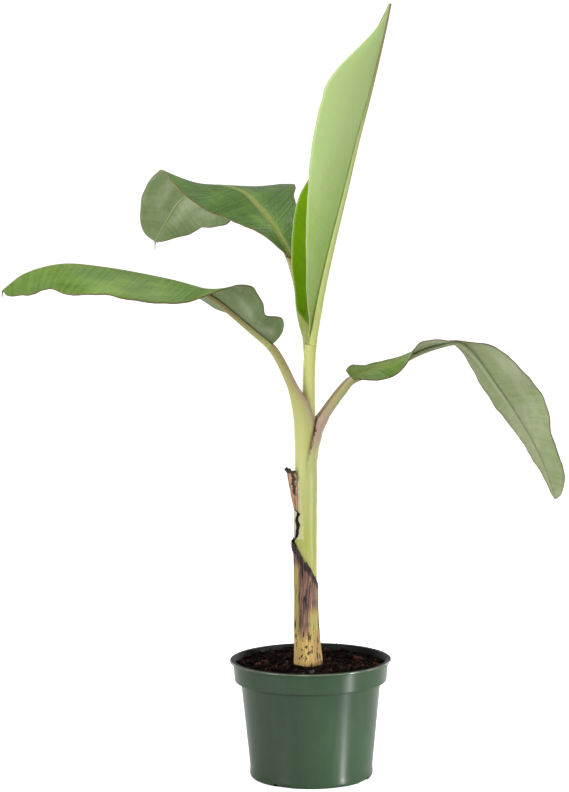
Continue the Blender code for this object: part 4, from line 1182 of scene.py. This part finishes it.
def upper_sheath(s, t):
    """A narrow tongue whose tip stands off the stem."""
    top, foot = UPPER_SHEATH_TURN
    wide, narrow = UPPER_SHEATH_HALF_SPAN
    half = (narrow + (wide - narrow) * t) * (1 + 0.2 * wander(7, t * 9))
    angle = foot + (top - foot) * t + (2 * s - 1) * half
    height = UPPER_SHEATH_FOOT + (UPPER_SHEATH_TOP - UPPER_SHEATH_FOOT) * t
    height += 0.0030 * t * wander(8, s * 5) - 0.004 * abs(2 * s - 1) * t
    stand = 0.0085 * t ** 0.75 * (1 - 0.80 * abs(2 * s - 1)) + 0.0003 * wander(9, s * 9, t * 6)
    knob = 0.0012 * held((t - 0.90) / 0.08) * (1 + wander(10, s * 7))
    return angle, height, stand + knob


def papery_patch(s, t):
    """A thin patch with ragged sides, whose right side sinks into the stem."""
    start, end = PAPER_SPAN
    low, high = PAPER_HEIGHTS
    height = low + (high - low) * t
    right = end - 34 * t ** 1.6 - 14 * (1 - t) ** 2 + 7 * wander(11, t * 8) + 3 * wander(12, t * 30)
    left = start + 8 * wander(13, t * 6)
    sink = 0.0008 * max((s - 0.75) / 0.25, 0)
    return left + (right - left) * s, height, 0.0002 * wander(14, s * 8, t * 5) - sink


def wobbled(value, place, amount):
    """A value shaken by a fine noise, so that what is drawn by it gets a ragged outline."""
    return maths("ADD", value, product(maths("SUBTRACT", grain(place, 420.0, 3.0), 0.5), amount))


def scars(angle, height):
    """The small lens-shaped black marks, as a mask."""
    found = 0.0
    for at, level, wide, tall in SCARS:
        aside = product(maths("ABSOLUTE", maths("SUBTRACT", angle, at / 360)), 360 / wide)
        above = product(maths("ABSOLUTE", maths("SUBTRACT", height, level)), 1 / tall)
        found = maths("MAXIMUM", between(maths("ADD", aside, above), 1.25, 0.85), found)
    return found


def dried_skin(name, dark, light, streak, cover, relief, painted):
    """Dead skin of long fibres in two browns, with brighter streaks between them. "painted"
    gives the piece's own colours over them, and its height."""
    made, shader = new_material(name, {"Roughness": 0.70, "Specular IOR Level": 0.35})
    at = marks(shader)
    fibres = grain(stretched(at.lay, (1, 0, 0.055)), 620.0, 4.0, 0.6)
    streaks = product(patches(at.lay, 260.0, cover, 0.10, (1, 0, 0.12)), 0.85)
    colour = mix(streaks, mix(between(fibres, 0.38, 0.62), dark, light), streak)
    colour, height = painted(colour, fibres, at)
    dress(shader, colour, height, relief, 0.0007)
    return made


def brown_skin(colour, fibres, at):
    """The lower sheath: purplish brown below a black roll, olive at the left, and tan and
    flecked with black at the foot, with painted shade darkening the foot's right side."""
    _, t, angle = at.span
    ragged = wobbled(angle, at.lay, 0.030)
    height = wobbled(at.z, at.lay, 0.0040)
    splits = product(patches(at.lay, 300.0, 0.43, 0.03, (1, 0, 0.10)), between(at.z, 0.165, 0.185))
    olive = product(between(ragged, 0.650, 0.632), between(height, 0.226, 0.214),
                    between(fibres, 0.36, 0.46), 0.9)
    patch = product(between(ragged, 0.755, 0.815), between(ragged, 0.945, 0.915),
                    between(maths("ADD", height, product(fibres, 0.02)), 0.190, 0.176), 0.9)
    foot = mix(patches(at.lay, 170.0, 0.5, 0.3, (1, 0, 0.2)), (0.58, 0.39, 0.125), (0.44, 0.25, 0.080))
    # painted shade: the tan of the foot is drawn darker on its right side
    foot = mix(product(between(angle, 0.70, 0.88), 0.85), foot, (0.24, 0.15, 0.045))
    low = between(maths("ADD", height, product(fibres, 0.050)), 0.182, 0.164)
    specks = product(patches(at.lay, 420.0, 0.42, 0.02, (1, 0, 0.35)), between(at.z, 0.165, 0.150))
    roll = mix(between(fibres, 0.46, 0.62), (0.012, 0.008, 0.009), (0.095, 0.052, 0.040))
    colour = layered(colour, (splits, (0.016, 0.009, 0.008)), (olive, (0.40, 0.32, 0.085)),
                     (patch, (0.34, 0.29, 0.075)), (low, foot),
                     (maths("MAXIMUM", specks, scars(ragged, height)), (0.014, 0.008, 0.006)),
                     (between(maths("ADD", t, product(fibres, 0.06)), 0.935, 0.955), roll))
    return colour, maths("SUBTRACT", fibres, splits)


def torn_skin(colour, fibres, at):
    """The loose tip above it: tan between black edges, with a narrow black cleft of painted
    shadow beside the stem, where the tip stands off it.
    """
    s, t, _ = at.span
    side = wobbled(s, at.lay, 0.30)
    edge = maths("MAXIMUM", between(side, 0.50, 0.42), between(wobbled(t, at.lay, 0.12), 0.91, 0.95))
    # painted shadow: a narrow black cleft where the tip stands off the stem
    slit_shadow = product(between(side, 0.70, 0.76), between(side, 0.94, 0.88), between(t, 0.34, 0.44))
    return mix(product(maths("MAXIMUM", edge, slit_shadow), 0.95), colour, (0.022, 0.012, 0.010)), fibres


def papery_skin(colour, fibres, at):
    """The thin papery patch beside it, whitish, fading into the green of the stem."""
    s = at.span["X"]
    faded = product(between(wobbled(s, at.lay, 0.5), 0.50, 0.95), 0.85)
    grey = product(between(wobbled(s, at.lay, 0.35), 0.34, 0.26), 0.6)
    return layered(colour, (faded, (0.46, 0.47, 0.18)), (grey, (0.42, 0.40, 0.36))), fibres


def black_slit(s, t):
    """A ragged black crack in the papery patch."""
    angles, heights = zip(*CRACK)
    share = s * (len(CRACK) - 1)
    swell = (t - 0.5) * (0.35 + sin(pi * s)) * (1 + 0.5 * wander(21, s * 14))
    return (np.interp(share, range(len(CRACK)), angles) + CRACK_SIZE[0] * swell,
            np.interp(share, range(len(CRACK)), heights) - CRACK_SIZE[1] * swell,
            0.0005 + 0.0003 * (1 - abs(2 * t - 1)))


BROWN_SKIN = dried_skin("brown_dry_sheath", (0.060, 0.028, 0.026), (0.230, 0.130, 0.085),
                        (0.46, 0.25, 0.10), 0.44, 0.9, brown_skin)
TORN_SKIN = dried_skin("torn_dry_sheath", (0.24, 0.125, 0.070), (0.52, 0.32, 0.18), (0.60, 0.44, 0.26),
                       0.45, 0.8, torn_skin)
PAPERY_SKIN = dried_skin("papery_patch_skin", (0.40, 0.37, 0.22), (0.54, 0.51, 0.36),
                         (0.66, 0.62, 0.48), 0.45, 0.4, papery_skin)
CRACK_SKIN = crumb_finish("black_crack", (0.012, 0.008, 0.008), (0.070, 0.038, 0.030), 0.7)
for name, target, columns, rows, place, thickness, outside, inside in (
        ("papery_crack", "upper", 60, 6, black_slit, PAPER_SKIN, CRACK_SKIN, CRACK_SKIN),
        ("lower_dry_sheath", "lower", 190, 90, lower_sheath, LOWER_SHEATH_SKIN, BROWN_SKIN, BROWN_SKIN),
        ("upper_dry_sheath", "upper", 30, 60, upper_sheath, UPPER_SHEATH_SKIN, TORN_SKIN, TORN_SKIN),
        ("papery_patch", "upper", 50, 60, papery_patch, PAPER_SKIN, PAPERY_SKIN, TORN_SKIN)):
    add_piece(name, thickened(wrapped(columns, rows, place), thickness), ["dry_sheath_" + target],
              [outside, inside])
